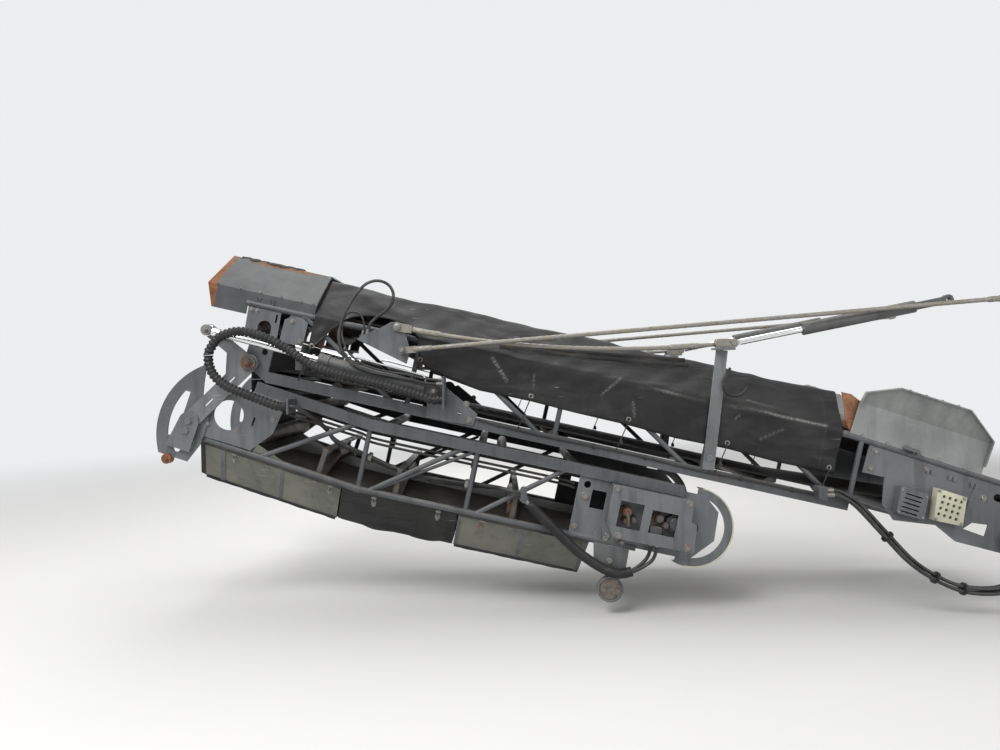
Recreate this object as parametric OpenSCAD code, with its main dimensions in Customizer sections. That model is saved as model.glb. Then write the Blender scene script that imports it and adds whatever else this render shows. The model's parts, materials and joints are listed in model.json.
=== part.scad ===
// Folding discharge conveyor of a cold planer, folded for transport.
// X runs towards the machine, Y across, Z up, and the origin is on the pivot pin's axis.
// Outlines are drawn in the side view, X to the right and Z up, from points of four slopes:
// tail_pt, base_pt, front_pt and head_pt take a point along and above each section's own line.

/* [Frame] */
// Distance between the centre planes of the two side frames
frame_w = 1300; // [1100:10:1500]
// Diameter of the round top rails
rail_d = 42; // [34:1:50]
// Height of the box chords
chord_h = 72; // [60:1:84]
// Width of the box chords
chord_w = 60; // [50:1:70]
// Diameter of the posts and diagonals
brace_d = 34; // [26:1:40]
// Diameter of the tubes across the frame
cross_d = 60; // [44:1:70]
// Thickness of the side plates
plate_t = 12; // [8:1:16]

/* [Receiving end] */
// Slope of the receiving end in degrees
tail_slope = 17.7; // [15:0.1:20]
// Length of the receiving end from the pivot pin to the bend in the rails
tail_len = 1286; // [1250:1:1400]
// Height of the rails above the pivot pin
rail_lift = 350; // [340:1:370]
// Diameter of the pivot bore
pivot_d = 70; // [50:1:90]
// Radius of the pivot lugs
pivot_lug_r = 95; // [80:1:110]
// Thickness of the pivot lugs
pivot_lug_t = 36; // [24:1:50]
// Radius of the tail drum
tail_drum_r = 90; // [70:1:100]
// Height of the tail drum's axis above the pivot pin
tail_drum_lift = 252; // [245:1:265]
// Height of the hopper's rim above the rails
hopper_h = 390; // [300:1:450]
// How far the hopper's rim leans out on each side
hopper_flare = 90; // [40:1:120]
// Length of the hopper
hopper_len = 920; // [850:1:960]

/* [Base section] */
// Slope of the base section in degrees
incline = 12.4; // [10:0.1:14]
// Length from the bend in the rails to the fold pin
base_len = 3980; // [3900:1:4100]
// Height of the rails above the fold pin's line
rail_rise = 388; // [370:1:400]
// Depth of the chords' centre below the fold pin's line
chord_drop = 72; // [66:1:80]

/* [Fold] */
// Length of the fold arms between their pins
arm_len = 554; // [550:1:560]
// Direction of the fold arms from the base pin, in degrees
arm_dir = 236.9; // [236:0.1:238]
// Length of the arms' levers
lever_len = 338; // [320:1:350]
// Direction of the levers, in degrees
lever_dir = 153.1; // [150:0.1:156]
// Thickness of the fold arms
arm_t = 20; // [14:1:20]
// Width of the fold arms
arm_w = 112; // [90:1:124]
// Diameter of the fold pins
pin_d = 50; // [40:1:56]
// How much steeper the front section's hinge end lies than the base, in degrees
front_tilt = 6; // [5:0.1:6.4]

/* [Front section] */
// Height of the front chords above the hinge pin, folded
front_chord_rise = 352; // [346:1:356]
// Depth of the front rails below the hinge pin, folded
front_rail_drop = 88; // [80:1:100]
// Distance from the hinge pin to the front section's bend
front_knee_s = 1139; // [1100:1:1180]
// Bend of the front section in degrees
front_bend = 6.4; // [5.6:0.1:7]
// Distance between posts
front_bay = 735; // [700:1:740]
// Length from the bend to the drive drum's axis
head_len = 2256; // [2240:1:2300]
// Radius of the hinge plates' outer edge
hinge_plate_r = 490; // [480:1:500]

/* [Belt] */
// Width of the belt
belt_w = 1060; // [800:10:1100]
// Thickness of the belt
belt_t = 12; // [8:1:16]
// Depth of the carrying belt's middle below the rails
belt_sink = 58; // [50:1:70]
// How far the carrying belt's edges rise above its middle
belt_rise = 100; // [60:1:120]
// Width of the carrying belt's flat middle
belt_flat = 400; // [300:10:500]
// Radius of the idler rolls
roll_r = 38; // [30:1:42]
// Radius of the two rollers that the belt bends round at the fold
fold_roller_r = 55; // [40:1:60]

/* [Cover] */
// Height of the cover above the rails
cover_h = 277; // [240:1:300]
// Width of the cover's flat top
cover_top_w = 860; // [700:10:1000]
// How far the sheet hangs below the rails
skirt_h = 282; // [200:1:300]
// Thickness of the cover sheet and its stiff panels
sheet_t = 6; // [4:1:8]

/* [Cylinders and stays] */
// Outer diameter of the fold cylinders' barrels
fold_barrel_d = 84; // [70:1:88]
// Length of the fold cylinders' barrels from the eye
fold_barrel_len = 770; // [740:1:800]
// Diameter of the fold cylinders' rods
fold_rod_d = 45; // [36:1:50]
// Outer diameter of the lift cylinders' barrels
lift_barrel_d = 80; // [64:1:80]
// Diameter of the lift cylinders' rods
lift_rod_d = 40; // [30:1:44]
// Diameter of the stay ropes
rope_d = 26; // [18:1:28]

/* [Fits] */
// Clearance round a pin or rod
fit_gap = 0.5; // [0.3:0.1:1]
// Gap between parts that move past each other
run_gap = 5; // [4:0.5:6]

/* [Hidden] */
$fn = 48;
half_w = frame_w / 2;
chord_face = half_w + chord_w / 2;
chord_in = half_w - chord_w / 2;
knee_bend = tail_slope - incline;
wall = 8;

// Turns a side-view point down to the right by an angle
function turn(p, a) = [p.x * cos(a) + p.y * sin(a), p.y * cos(a) - p.x * sin(a)];
function unit(v) = v / norm(v);
function polar(r, a) = [r * cos(a), r * sin(a)];
function tail_pt(s, t) = turn([s, t], tail_slope);
knee = tail_pt(-tail_len, rail_lift);
fold_pin = knee + turn([-base_len, -rail_rise], incline);
function base_pt(s, t) = fold_pin + turn([s, t], incline);
function in_base(p) = turn(p - fold_pin, -incline);
arm_end = polar(arm_len, arm_dir);
lever_end = polar(lever_len, lever_dir);
hinge_pin = base_pt(arm_end.x, arm_end.y);
front_slope = incline + front_tilt;
function front_pt(s, t) = hinge_pin + turn([s, t], front_slope);
head_slope = front_slope - front_bend;
front_knee = front_pt(front_knee_s, front_chord_rise);
function head_pt(s, t) = front_knee + turn([s, t], head_slope);
head_rail_t = -(front_chord_rise + front_rail_drop);

// Layers across the width, from the chord's outer face outwards
hinge_y = chord_face;
arm_y = hinge_y + plate_t + run_gap;
cheek_y = arm_y + arm_t + run_gap;
cheek_t = 10;
cyl_y = cheek_y + cheek_t / 2 + 20;
stay_y = cyl_y - 20;
stay_plate_t = 16;
low_stay_y = stay_y + 32;
low_stay_end_y = stay_y + 82;

// The carrying and returning belt, measured to the belt's middle
carry_t = rail_rise - belt_sink;
return_t = -5;
front_carry_t = -front_rail_drop + belt_sink;
front_return_t = front_chord_rise - 67;
head_carry_t = head_rail_t + belt_sink;
head_return_t = -67;
drum_r = (head_return_t - head_carry_t - belt_t) / 2;
drum_t = (head_return_t + head_carry_t) / 2;
fold_roller_s = -36;
front_roller_s = 434;
wrap_gap = 0.8;

// Extrudes a side-view drawing across the width, from y0 to y1
module across(y0, y1) {
    translate([0, y1, 0]) rotate([90, 0, 0]) linear_extrude(y1 - y0) children();
}

// A round bar between two side-view points at one place across the width
module tube(p, q, y, d) {
    translate([p.x, y, p.y]) rotate([0, atan2(q.x - p.x, q.y - p.y), 0]) cylinder(d = d, h = norm(q - p));
}

// A round bar across the width
module cross_tube(p, d, y0, y1) {
    across(y0, y1) translate(p) circle(d = d);
}

// A straight bar of a side-view drawing
module strip(p, q, w) {
    translate(p) rotate(atan2(q.y - p.y, q.x - p.x)) translate([0, -w / 2]) square([norm(q - p), w]);
}

// A bar with round ends
module link(p, q, w) {
    strip(p, q, w);
    translate(p) circle(d = w);
    translate(q) circle(d = w);
}

module both_sides() {
    children();
    mirror([0, 1, 0]) children();
}

// Places a drawing of the cross-section, Y to the right and height up, on a section's line
module on_line(p, slope, s0, s1) {
    translate([p.x, 0, p.y]) rotate([0, slope, 0]) translate([s0, 0, 0]) rotate([90, 0, 90])
        linear_extrude(s1 - s0) children();
}

module on_base(s0, s1) { on_line(fold_pin, incline, s0, s1) children(); }
module on_tail(s0, s1) { on_line([0, 0], tail_slope, s0, s1) children(); }
module on_front(s0, s1) { on_line(hinge_pin, front_slope, s0, s1) children(); }
module on_head(s0, s1) { on_line(front_knee, head_slope, s0, s1) children(); }

// How far a bend's outer corner lies from the middle line, for a sheet or bar bent at each point
function normal_of(v) = [-v.y, v.x] / norm(v);
function mitre(points, i) = let (
        a = normal_of(points[max(i, 1)] - points[max(i, 1) - 1]),
        b = normal_of(points[min(i, len(points) - 2) + 1] - points[min(i, len(points) - 2)]))
    (a + b) / (1 + a * b);

// A folded sheet of one thickness along a list of points
module folded_sheet(points, t) {
    n = len(points);
    polygon(concat([for (i = [0 : n - 1]) points[i] + mitre(points, i) * t / 2],
                   [for (i = [n - 1 : -1 : 0]) points[i] - mitre(points, i) * t / 2]));
}

/* Frame of the base section */

base_rail_start = -120;
collar_len = 40;
collar_wall = 3;

// A rail from end to end, with a welded collar over its bend
module bent_rail(start, bend, end, slope, y) {
    gap = collar_len / 6;
    tube(start, bend - unit(bend - start) * gap, y, rail_d);
    tube(bend + unit(end - bend) * gap, end, y, rail_d);
    tube(bend - turn([collar_len / 2, 0], slope), bend + turn([collar_len / 2, 0], slope), y, rail_d + 2 * collar_wall);
}

tail_rail_end = 60;

module base_rail_bar(y) {
    bent_rail(base_pt(base_rail_start, rail_rise), knee, tail_pt(tail_rail_end, rail_lift), (incline + tail_slope) / 2, y);
}

module base_rails() {
    color("dimgray") both_sides() base_rail_bar(half_w);
}

chord_start = 120;
chord_end = base_len + 110;

module base_chord_bar() {
    across(chord_in, chord_face) strip(base_pt(chord_start, -chord_drop), base_pt(chord_end, -chord_drop), chord_h);
}

module base_chords() {
    color("dimgray") both_sides() base_chord_bar();
}

post_count = 4;
post_start = 62;
last_post = base_len + 118;
base_bay = (last_post - post_start) / post_count;
function post_s(i) = post_start + i * base_bay;

module base_posts() {
    color("dimgray") both_sides() difference() {
        for (i = [1 : post_count])
            tube(base_pt(post_s(i), chord_h / 2 - chord_drop), base_pt(post_s(i), rail_rise), half_w, brace_d);
        base_rail_bar(half_w);
    }
}

diagonal_top_gap = 200;
diagonal_foot_gap = 70;

module base_diagonal_bar(i) {
    tube(base_pt(post_s(i) + diagonal_top_gap, rail_rise),
         base_pt(post_s(i + 1) - diagonal_foot_gap, -chord_drop), half_w, brace_d);
}

module base_diagonals() {
    color("dimgray") both_sides() difference() {
        for (i = [0 : post_count - 1]) base_diagonal_bar(i);
        base_rail_bar(half_w);
        base_chord_bar();
    }
}

module base_crossmembers() {
    color("dimgray") {
        for (i = [0 : post_count - 1])
            cross_tube(base_pt(post_s(i) + 100, -chord_drop), cross_d, -chord_in, chord_in);
        cross_tube(tail_pt(-720, -20), 1.5 * cross_d, -lug_in, lug_in);
    }
}

end_plate_t = 10;

module base_end_plates() {
    low = 178;
    color("gray") both_sides() difference() {
        across(half_w - end_plate_t / 2, half_w + end_plate_t / 2) difference() {
            union() {
                polygon([base_pt(-104, rail_rise), base_pt(118, rail_rise), base_pt(128, low - 10), base_pt(-96, low + 12)]);
                polygon([base_pt(152, 330), base_pt(180, 350), base_pt(190, rail_rise), base_pt(310, rail_rise),
                         base_pt(304, low), base_pt(147, low)]);
            }
            translate(base_pt(30, 250)) circle(r = 46);
            polygon([base_pt(-16, 205), base_pt(76, 205), base_pt(76, 250), base_pt(-16, 250)]);
            link(base_pt(96, 300), base_pt(96, 345), 14);
        }
        base_rail_bar(half_w);
        base_diagonal_bar(0);
    }
}

/* Lugs that carry the fold arms, and their pins */

bracket_t = 24;

module fold_brackets() {
    nose_r = 62;
    color("dimgray") both_sides() {
        across(half_w - bracket_t / 2, half_w + bracket_t / 2) difference() {
            union() {
                translate(fold_pin) circle(r = nose_r);
                polygon([base_pt(-nose_r + 12, 30), base_pt(-40, 178), base_pt(120, 166), base_pt(chord_start, chord_h / 2 - chord_drop),
                         base_pt(chord_start, -chord_drop - chord_h / 2), base_pt(40, -nose_r)]);
            }
            translate(base_pt(70, 90)) circle(r = 22);
        }
        across(half_w + bracket_t / 2, arm_y - 1) translate(fold_pin) circle(r = 44);
        cross_tube(fold_pin, pin_d, half_w + bracket_t / 2, cheek_y);
        cross_tube(fold_pin, pin_d + 24, arm_y + arm_t + 1, cheek_y + 8);
    }
}

/* The fold arms: bell cranks between the base and the front section */

module fold_arms() {
    bore = pin_d + 2 * fit_gap;
    a = base_pt(0, 0);
    e = base_pt(lever_end.x, lever_end.y);
    color("silver") both_sides() across(arm_y, arm_y + arm_t) difference() {
        union() {
            link(a, hinge_pin, arm_w);
            link(a, e, 84);
            polygon([a, base_pt(lever_end.x * 0.55, lever_end.y * 0.55), base_pt(arm_end.x * 0.4, arm_end.y * 0.4)]);
        }
        translate(a) circle(d = bore);
        translate(hinge_pin) circle(d = bore);
        link(base_pt(arm_end.x * 0.25, arm_end.y * 0.25), base_pt(arm_end.x * 0.36, arm_end.y * 0.36), 12);
        link(base_pt(arm_end.x * 0.62, arm_end.y * 0.62), base_pt(arm_end.x * 0.73, arm_end.y * 0.73), 12);
    }
}

/* Fold cylinders */

barrel_pin = [1238, 80];
barrel_pin_d = 40;
barrel_at = base_pt(barrel_pin.x, barrel_pin.y);
rod_at = base_pt(lever_end.x, lever_end.y);
cylinder_dir = (rod_at - barrel_at) / norm(rod_at - barrel_at);
cylinder_eye_r = 45;
eye_w = 36;
fold_rod_len = 960;

module cylinder_brackets() {
    color("dimgray") both_sides() {
        across(chord_face, chord_face + 15) difference() {
            union() {
                translate(barrel_at) circle(r = 52);
                polygon([base_pt(1190, 60), base_pt(1312, 117), base_pt(1405, 69), base_pt(1546, -10),
                         base_pt(1530, -90), base_pt(1223, -102)]);
            }
            translate(base_pt(1430, -30)) circle(r = 12);
        }
        cross_tube(barrel_at, barrel_pin_d, chord_face + 15, cyl_y + eye_w / 2 + 6);
        across(chord_face + 15, cyl_y - eye_w / 2 - 1) translate(barrel_at) circle(r = 32);
        across(cyl_y + eye_w / 2 + 1, cyl_y + eye_w / 2 + 14) translate(barrel_at) circle(r = 30, $fn = 6);
    }
}

module fold_barrels() {
    head = barrel_at + cylinder_dir * fold_barrel_len;
    color("dimgray") both_sides() difference() {
        union() {
            across(cyl_y - eye_w / 2, cyl_y + eye_w / 2) union() {
                translate(barrel_at) circle(r = cylinder_eye_r);
                strip(barrel_at, barrel_at + cylinder_dir * 80, 60);
            }
            tube(barrel_at + cylinder_dir * 66, head, cyl_y, fold_barrel_d);
            tube(head - cylinder_dir * 56, head + cylinder_dir * 14, cyl_y, fold_barrel_d + 12);
        }
        cross_tube(barrel_at, barrel_pin_d + 2 * fit_gap, cyl_y - eye_w, cyl_y + eye_w);
        tube(barrel_at + cylinder_dir * 86, head - cylinder_dir * 40, cyl_y, fold_barrel_d - 20);
        tube(head - cylinder_dir * 60, head + cylinder_dir * 20, cyl_y, fold_rod_d + 2 * fit_gap);
    }
}

module fold_rods() {
    inner = rod_at - cylinder_dir * fold_rod_len;
    color("silver") both_sides() {
        across(cyl_y - 18, cyl_y + 18) translate(rod_at) circle(r = 40);
        tube(rod_at - cylinder_dir * 70, inner, cyl_y, fold_rod_d);
        tube(rod_at - cylinder_dir * 34, rod_at - cylinder_dir * 84, cyl_y, 56);
        tube(inner, inner + cylinder_dir * 50, cyl_y, fold_barrel_d - 20 - 2 * fit_gap);
        cross_tube(rod_at, 44, arm_y + arm_t + run_gap, cyl_y + 28);
    }
}

/* Stays and lift cylinders */

// The stay brackets stand just before the first post, and are placed by their upper pin
stay_s = post_s(1) - 159;
upper_stay_pin = [stay_s, 441];
lower_stay_pin = [stay_s + 66, 297];
stay_pin_d = 30;
upper_at = base_pt(upper_stay_pin.x, upper_stay_pin.y);
lower_at = base_pt(lower_stay_pin.x, lower_stay_pin.y);

bracket_tube_d = 40;
bracket_tube_drop = (rail_d + bracket_tube_d) / 2 + 3;
function stay_pt(s, t) = base_pt(stay_s + s, t);

module stay_brackets() {
    color("gray") both_sides() {
        across(stay_y - stay_plate_t / 2, stay_y + stay_plate_t / 2) difference() {
            polygon([stay_pt(-245, 304), stay_pt(-222, 335), stay_pt(-99, 419), stay_pt(-52, 462), stay_pt(-12, 475),
                     stay_pt(32, 467), stay_pt(114, 301), stay_pt(108, 216)]);
            translate(upper_at) circle(d = stay_pin_d);
            translate(lower_at) circle(d = stay_pin_d);
        }
        cross_tube(stay_pt(-152, rail_rise - bracket_tube_drop), bracket_tube_d, half_w, stay_y - stay_plate_t / 2);
        cross_tube(stay_pt(28, 330), bracket_tube_d, half_w, stay_y - stay_plate_t / 2);
        difference() {
            across(half_w - 8, half_w + 8)
                polygon([stay_pt(-192, rail_rise), stay_pt(68, rail_rise), stay_pt(68, 290), stay_pt(-192, 320)]);
            base_rail_bar(half_w);
        }
        cross_tube(lower_at, stay_pin_d, stay_y - stay_plate_t / 2, low_stay_y + 20);
        across(low_stay_y + 14, low_stay_y + 26) translate(lower_at) circle(r = 27, $fn = 6);
    }
}

saddle_pin = [(-1896), 1327];
saddle_at = saddle_pin;

// The slack upper stays hang in a shallow curve from the bracket to the saddle
sag_depth = 62;
rope_parts = 14;
rope_from = upper_at + [95, -18];
rope_to = saddle_at + [-235, -14];
function sag_pt(k) = rope_from + (rope_to - rope_from) * k - [0, 4 * sag_depth * k * (1 - k)];

module fork(p, q, y, pin) {
    dir = (q - p) / norm(q - p);
    across(y - 26, y - 10) link(p, p + dir * 68, 56);
    across(y + 10, y + 26) link(p, p + dir * 68, 56);
    across(y - 26, y + 26) strip(p + dir * 66, p + dir * 96, 50);
    cross_tube(p, pin, y - 36, y + 36);
}

module upper_stays() {
    color("tan") both_sides() {
        fork(upper_at, rope_from, stay_y, stay_pin_d);
        tube(upper_at + (rope_from - upper_at) * 0.7, sag_pt(0.07), stay_y, rope_d + 10);
        swept([for (i = [0 : rope_parts]) let (p = sag_pt(0.04 + 0.92 * i / rope_parts)) [p.x, stay_y, p.y]], rope_d, 12);
        tube(sag_pt(0.93), rope_to + [8, 0], stay_y, rope_d + 10);
        tube(rope_to, saddle_at - [100, 5], stay_y, rope_d);
        across(stay_y - 30, stay_y - 14) link(saddle_at, saddle_at - [90, 0], 2 * saddle_eye_r);
        across(stay_y + 14, stay_y + 30) link(saddle_at, saddle_at - [90, 0], 2 * saddle_eye_r);
        across(stay_y - 30, stay_y + 30) strip(saddle_at - [62, 0], saddle_at - [110, 0], 54);
        cross_tube(saddle_at, stay_pin_d, stay_y - 36, stay_y + 36);
    }
}

saddle_eye_r = 30;
shelf_t = 12;
strap_foot = [3118, 40];
strap_w = 78;
strap_y = chord_face + 4;
// Height of the shelf's top under the saddle pin, with a little play
shelf_drop = saddle_eye_r + 0.3;

module rope_saddles() {
    foot = base_pt(strap_foot.x + 6, strap_foot.y - 80);
    top = saddle_at - [60, shelf_drop + shelf_t];
    shelf = saddle_at - [60, shelf_drop + shelf_t / 2];
    color("silver") both_sides() {
        across(strap_y, strap_y + 10) strip(foot, top, strap_w);
        across(chord_face, strap_y) strip(foot, base_pt(strap_foot.x + 2, chord_h / 2 - chord_drop), strap_w);
        across(strap_y, stay_y + 34) strip(shelf - [70, 0], shelf + [70, 0], shelf_t);
        across(stay_y + 34, stay_y + 40) strip(shelf + [-60, 6], shelf + [60, 6], 24);
        cross_tube(base_pt(strap_foot.x - 6, strap_foot.y), 40, strap_y + 10, strap_y + 22);
    }
}

stay_far_end = [(-47), 1628];
stay_eye_d = 56;

module lower_stays() {
    dir = (stay_far_end - lower_at) / norm(stay_far_end - lower_at);
    length = norm(stay_far_end - lower_at);
    lean = atan2(low_stay_end_y - low_stay_y, length);
    color("tan") both_sides() {
        difference() {
            across(low_stay_y - 12, low_stay_y + 12) {
                translate(lower_at) circle(d = stay_eye_d);
                strip(lower_at, lower_at + dir * 92, stay_eye_d - 12);
            }
            cross_tube(lower_at, stay_pin_d + 2 * fit_gap, low_stay_y - 20, low_stay_y + 20);
        }
        translate([lower_at.x, low_stay_y, lower_at.y]) rotate([0, -atan2(dir.y, dir.x), 0]) rotate([0, 0, lean]) {
            rotate([0, 90, 0]) translate([0, 0, 70]) cylinder(d = rope_d, h = length - 150);
            rotate([0, 90, 0]) translate([0, 0, 76]) cylinder(d = rope_d + 10, h = 110);
            rotate([0, 90, 0]) translate([0, 0, length - 210]) cylinder(d = rope_d + 10, h = 110);
        }
        difference() {
            across(low_stay_end_y - 26, low_stay_end_y + 26) {
                translate(stay_far_end) circle(d = stay_eye_d);
                strip(stay_far_end, stay_far_end - dir * 130, stay_eye_d - 12);
            }
            cross_tube(stay_far_end, stay_pin_d, low_stay_end_y - 40, low_stay_end_y + 40);
        }
    }
}

lift_eye = [(-482), 1615];
lift_dir = (lift_eye - saddle_at) / norm(lift_eye - saddle_at);
lift_head = 470;
lift_barrel_end = 1220;
lift_rod_in = 320;

module lift_rods() {
    color("silver") both_sides() difference() {
        union() {
            across(stay_y - 12, stay_y + 12) {
                translate(saddle_at) circle(r = saddle_eye_r);
                strip(saddle_at, saddle_at + lift_dir * 50, lift_rod_d);
            }
            tube(saddle_at + lift_dir * 40, saddle_at + lift_dir * (lift_head + lift_rod_in), stay_y, lift_rod_d);
            tube(saddle_at + lift_dir * (lift_head + lift_rod_in - 40), saddle_at + lift_dir * (lift_head + lift_rod_in),
                 stay_y, lift_barrel_d - 18 - 2 * fit_gap);
        }
        cross_tube(saddle_at, stay_pin_d + 2 * fit_gap, stay_y - 20, stay_y + 20);
    }
}

module lift_barrels() {
    color("lightgray") both_sides() difference() {
        union() {
            tube(saddle_at + lift_dir * lift_head, saddle_at + lift_dir * lift_barrel_end, stay_y, lift_barrel_d);
            across(stay_y - 20, stay_y + 20) {
                translate(lift_eye) circle(r = 34);
                strip(lift_eye, saddle_at + lift_dir * (lift_barrel_end - 20), 50);
            }
        }
        tube(saddle_at + lift_dir * (lift_head + 40), saddle_at + lift_dir * (lift_barrel_end - 60), stay_y, lift_barrel_d - 18);
        tube(saddle_at + lift_dir * (lift_head - 5), saddle_at + lift_dir * (lift_head + 60), stay_y, lift_rod_d + 2 * fit_gap);
        cross_tube(lift_eye, stay_pin_d, stay_y - 30, stay_y + 30);
    }
}

/* Hood and covers */

hood_start = -396;
hood_end = 345;
hood_t = 690;
crease_t = 465;
lip_t = 312;
hood_out = half_w + 12;

module hood() {
    top_half = cover_top_w / 2;
    color("darkgray") difference() {
        on_base(hood_start, hood_end)
            folded_sheet([[-hood_out + 12, lip_t], [-hood_out - 6, crease_t], [-top_half, hood_t],
                          [top_half, hood_t], [hood_out + 6, crease_t], [hood_out - 12, lip_t]], sheet_t);
        both_sides() {
            across(0, half_w * 1.5) polygon([base_pt(-110, lip_t - 30), base_pt(hood_end + 60, lip_t - 30),
                                      base_pt(hood_end + 60, rail_rise + 14), base_pt(-110, rail_rise + 14)]);
            base_rail_bar(half_w);
        }
        across(-frame_w, frame_w) polygon([base_pt(hood_start - 20, lip_t - 20), base_pt(hood_start + 54, lip_t - 20),
                                           base_pt(hood_start, crease_t), base_pt(hood_start - 20, crease_t)]);
        across(-frame_w, frame_w) polygon([base_pt(hood_start - 20, crease_t), base_pt(hood_start, crease_t),
                                           base_pt(hood_start + 46, hood_t + 20), base_pt(hood_start - 20, hood_t + 20)]);
    }
}

function cover_points(t0, up) = let (w = cover_top_w / 2)
    [[-half_w - 26, t0 - up * skirt_h], [-half_w - 26, t0 + up * 20], [-w, t0 + up * cover_h],
     [w, t0 + up * cover_h], [half_w + 26, t0 + up * 20], [half_w + 26, t0 - up * skirt_h]];

tarp_start = 350;
tarp_end = base_len - collar_len / 2 - 4;

module tarp_cover() {
    color("black") difference() {
        on_base(tarp_start, tarp_end) folded_sheet(cover_points(rail_rise, 1), sheet_t);
        both_sides() across(half_w, half_w + 60)
            polygon([stay_pt(-252, 60), stay_pt(-252, 330), stay_pt(-172, rail_rise - 10), stay_pt(48, rail_rise - 10),
                     stay_pt(98, 300), stay_pt(98, 160), stay_pt(-112, 60)]);
        both_sides() across(half_w, half_w + 60)
            polygon([base_pt(tarp_start - 5, 60), base_pt(tarp_start - 5, rail_rise - 10), stay_pt(-252, 330), stay_pt(-252, 60)]);
    }
}

bow_s = [for (k = [0 : 4]) 480 + (base_len - 575) * k / 4];
bow_d = 30;

module cover_bows() {
    w = cover_top_w / 2 - 10;
    t = cover_h - sheet_t / 2 - bow_d / 2 - 0.3;
    color("dimgray") for (s = bow_s) difference() {
        on_base(s - bow_d / 2, s + bow_d / 2)
            folded_sheet([[-half_w, rail_rise], [-w, rail_rise + t], [w, rail_rise + t], [half_w, rail_rise]], bow_d);
        both_sides() base_rail_bar(half_w);
    }
}

/* Idlers, rollers and drums */

idler_start = 420;
idler_count = 6;
last_idler = base_len - 160;
idler_pitch = (last_idler - idler_start) / (idler_count - 1);

module base_idlers() {
    color("darkgray") for (i = [0 : idler_count - 1]) {
        s = idler_start + i * idler_pitch;
        idler_row(base_pt(s, carry_t - belt_t / 2 - roll_r - 1), incline, 1);
    }
}

// Three troughing rolls on their frame, between the two rails
module idler_row(p, slope, up) {
    wing = (belt_w - belt_flat) / 2;
    a = atan2(belt_rise, wing);
    wing_len = wing / cos(a) - 30;
    foot = half_w - rail_d / 2;
    rail_reach = belt_sink + belt_t / 2 + roll_r + 1;
    translate([p.x, 0, p.y]) rotate([0, slope, 0]) {
        rotate([90, 0, 0]) cylinder(r = roll_r, h = belt_flat - 10, center = true);
        for (side = [0, 1]) mirror([0, side, 0]) {
            translate([0, belt_flat / 2 + 10, up * 2]) rotate([up * a - 90, 0, 0]) cylinder(r = roll_r, h = wing_len);
            translate([-14, belt_flat / 2 - 6, up > 0 ? -70 : -4]) cube([28, 12, 74]);
        }
        translate([-20, -foot, up > 0 ? -86 : 70]) cube([40, 2 * foot, 16]);
        for (side = [0, 1]) mirror([0, side, 0])
            translate([-16, foot - 16, up > 0 ? -86 : -rail_reach]) cube([32, 16, rail_reach + 86]);
    }
}

return_count = 3;
// Return rolls stand one and a half bays apart, clear of the cross members
function return_s(i) = post_s(0.5 + 1.5 * i);

module return_roll(p) {
    cross_tube(p, 2 * roll_r, -belt_w / 2 - 10, belt_w / 2 + 10);
    cross_tube(p, 20, -chord_in, chord_in);
}

module base_return_rolls() {
    color("darkgray") {
        for (i = [0 : return_count - 1])
            return_roll(base_pt(return_s(i), return_t - belt_t / 2 - roll_r - 1));
        end_roller(base_roller_at, half_w - end_plate_t / 2);
    }
}

// A roller that the belt bends round, with its shaft's half length
module end_roller(p, reach) {
    cross_tube(p, 2 * fold_roller_r, -belt_w / 2 - 15, belt_w / 2 + 15);
    cross_tube(p, 30, -reach, reach);
}

drum_wall = 10;
drum_recess = 45;

// A drum with dished ends on its shaft
module drum(p, r, half, shaft_d, y0, y1) {
    difference() {
        cross_tube(p, 2 * r, -half, half);
        cross_tube(p, 2 * (r - drum_wall), -half - 1, -half + drum_recess);
        cross_tube(p, 2 * (r - drum_wall), half - drum_recess, half + 1);
    }
    cross_tube(p, shaft_d, y0, y1);
}

tail_drum_s = -60;

tail_shaft_d = 50;

module tail_drum() {
    color("gray") drum(tail_drum_at, tail_drum_r, belt_w / 2 + 20, tail_shaft_d, -half_w - 30, half_w + 30);
}

/* The belt, swept as a strip of one thickness that is troughed where it carries */

// Four points across the belt at each station: middle place, direction angle and rise of the edges
function belt_ring(p, a, rise, side) = let (
        n = [sin(a), cos(a)] * side * belt_t / 2,
        u = [sin(a), cos(a)] * rise)
    [for (k = [[-belt_w / 2, 1], [-belt_flat / 2, 0], [belt_flat / 2, 0], [belt_w / 2, 1]])
        [p.x + n.x + u.x * k[1], k[0], p.y + n.y + u.y * k[1]]];

// Stations are [x, z, slope, rise], in order along the belt
module belt_strip(stations) {
    n = len(stations);
    points = [for (st = stations) each concat(
        belt_ring([st[0], st[1]], st[2], st[3], 1),
        [for (i = [3 : -1 : 0]) belt_ring([st[0], st[1]], st[2], st[3], -1)[i]])];
    side_faces = [for (j = [0 : n - 2], i = [0 : 7])
        let (a = j * 8 + i, b = j * 8 + (i + 1) % 8) [a, b, b + 8, a + 8]];
    // each end is three flat pieces, because its eight corners lie in line on a flat belt
    first = [for (i = [0 : 2]) [7 - i, 6 - i, i + 1, i]];
    last = [for (i = [0 : 2]) [for (k = [i, i + 1, 6 - i, 7 - i]) (n - 1) * 8 + k]];
    polyhedron(points = points, faces = concat(side_faces, first, last));
}

function station(p, a, rise) = [p.x, p.y, a, rise];
// Stations round a drum, from one slope angle to another
function around(p, r, a0, a1, steps) = [for (i = [0 : steps]) let (a = a0 + (a1 - a0) * i / steps)
    station(p + [sin(a), cos(a)] * r, a, 0)];

tail_drum_at = tail_pt(tail_drum_s, tail_drum_lift);
base_roller_at = base_pt(fold_roller_s, carry_t - belt_t / 2 - fold_roller_r);
wrap_r = fold_roller_r + belt_t / 2 + wrap_gap;

tail_wrap_r = tail_drum_r + belt_t / 2 + wrap_gap;
last_trough = tail_pt(-450, rail_lift - belt_sink);
carry_run = tail_drum_at - last_trough;
return_run = tail_drum_at - base_pt(base_len - 100, return_t);
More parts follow.
